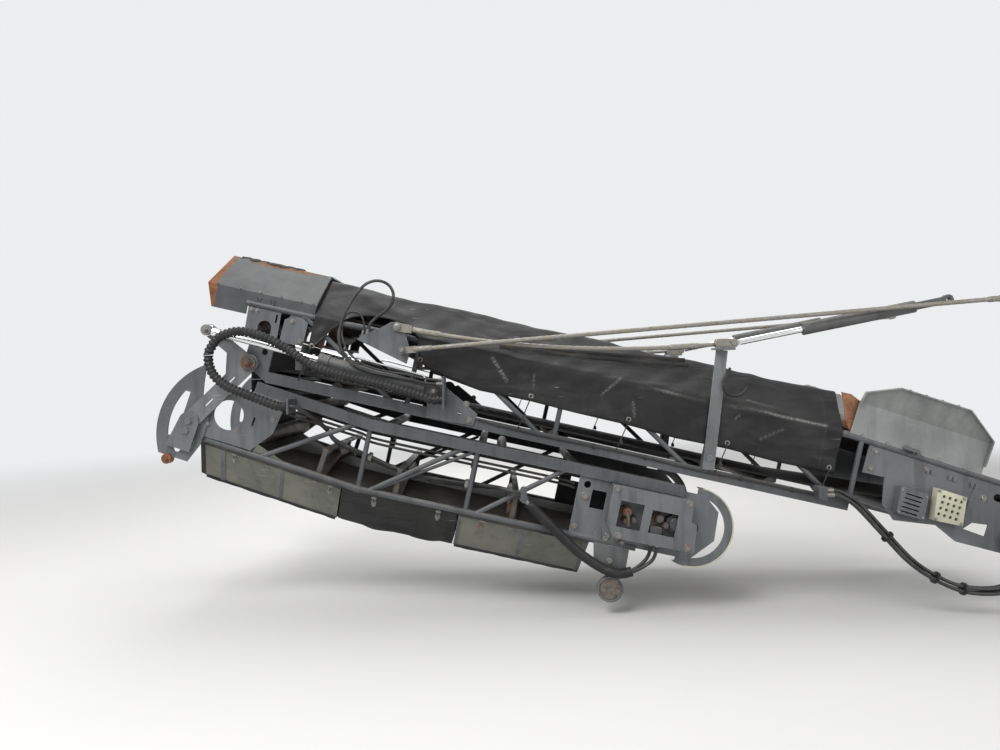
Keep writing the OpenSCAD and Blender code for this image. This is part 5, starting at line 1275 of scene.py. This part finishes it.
# Oil pipe along each fold cylinder, and the bands and end rings on its barrel
oilPipe = np.array([[-4455, 1180], [-4448, 1224], [-4407, 1240], [-4200, 1186], [-3975, 1126], [-3930, 1108],
                    [-3918, 1068]], float)
oilPart = smoothTube(sideToSpace(oilPipe, -747), 10, 0.008, 0.0065, 12)
piece("oil_pipe", mirrored([oilPart]), "fold_cylinders", "rod_chrome", sharp=60)
barrelFrom, barrelTo = inSpace(barrelFoot, -747), inSpace(eyeAt, -747)
barrelWay = (barrelTo - barrelFrom) / np.linalg.norm(barrelTo - barrelFrom)
bands = []
bandsAt = [(150, 22, 0.0445), (420, 22, 0.0445), (600, 22, 0.0445), (712, 10, 0.0505), (760, 8, 0.0505)]
for run, wide, r in bandsAt:
    profile = [[0, r - 0.004], [0, r], [wide / 1000, r], [wide / 1000, r - 0.004]]
    bands.append(turnedPart(profile, barrelFrom + barrelWay * run / 1000, barrelWay, 36))
piece("barrel_bands", mirrored(bands), "fold_cylinders", "cylinder_paint")
print("stage: motor, lamp and pipes")

# Hoses from the sleeve through the front truss to the drive hoses' clamp, held to the posts
bundleFront = np.array([
    [622, 316.5, -833], [650, 325, -833], [695, 322, -820], [742, 300, -772], [778, 274, -706],
    [812, 249, -636], [862, 216, -594], [950, 160, -582]], float)
bundleHead = np.array([
    [30, -226, -580], [230, -268, -580], [460, -280, -580], [706, -268, -580], [800, -256, -590],
    [880, -241, -640], [950, -231, -694], [1010, -229, -716], [1050, -234, -720], [1074, -246, -720]], float)
bundleWay = np.vstack([place("front", *bundleFront.T), place("head", *bundleHead.T)])
bundleLook = dict(diameter=0.024, apart=0.0145, hang=0.01)
drop = np.sin(np.linspace(0, np.pi, len(bundleWay)))[:, None] * [0, 0, bundleLook["hang"]]
for number, shift in (("1", -1), ("2", 1)):
    path = evenly(smoothPath(bundleWay + [0, shift * bundleLook["apart"], 0] - drop * shift, 10), 0.012)
    thing = mappedHose("front_hose_" + number, path, "front", bundleLook["diameter"])
headWay = place("head", 1, 0, 0) - place("head", 0, 0, 0)
holderProfile = [[0, 0.032], [0, 0.036], [0.022, 0.036], [0.022, 0.032]]
holders = []
for along, level in ((30, -226), (706, -268)):
    stub = place("head", along, level, np.array([-611, -628]))
    holders += [turnedPart(holderProfile, place("head", along - 11, level, -580), headWay, 28),
                tubePart(evenly(stub, 0.006), 0.013, 12)]
piece("hose_holders", mirrored(holders), "front", "fitting_zinc")

# Stop roller under the hinge plate's lower end, with its axle, worn to bare and rusty steel
stopAt = inSpace((-5636, 566), -664)
roller = [[0, 0.001], [0, 0.03], [0.004, 0.034], [0.052, 0.034], [0.056, 0.03], [0.056, 0.001]]
axle = [[-0.02, 0.001], [-0.02, 0.013], [0.07, 0.013], [0.072, 0.001]]
stopParts = [turnedPart(roller, stopAt, outNear, 32), turnedPart(axle, stopAt, outNear, 20)]
piece("stop_rollers", mirrored(stopParts), "front", "liner_rubber")
print("stage: front hoses")
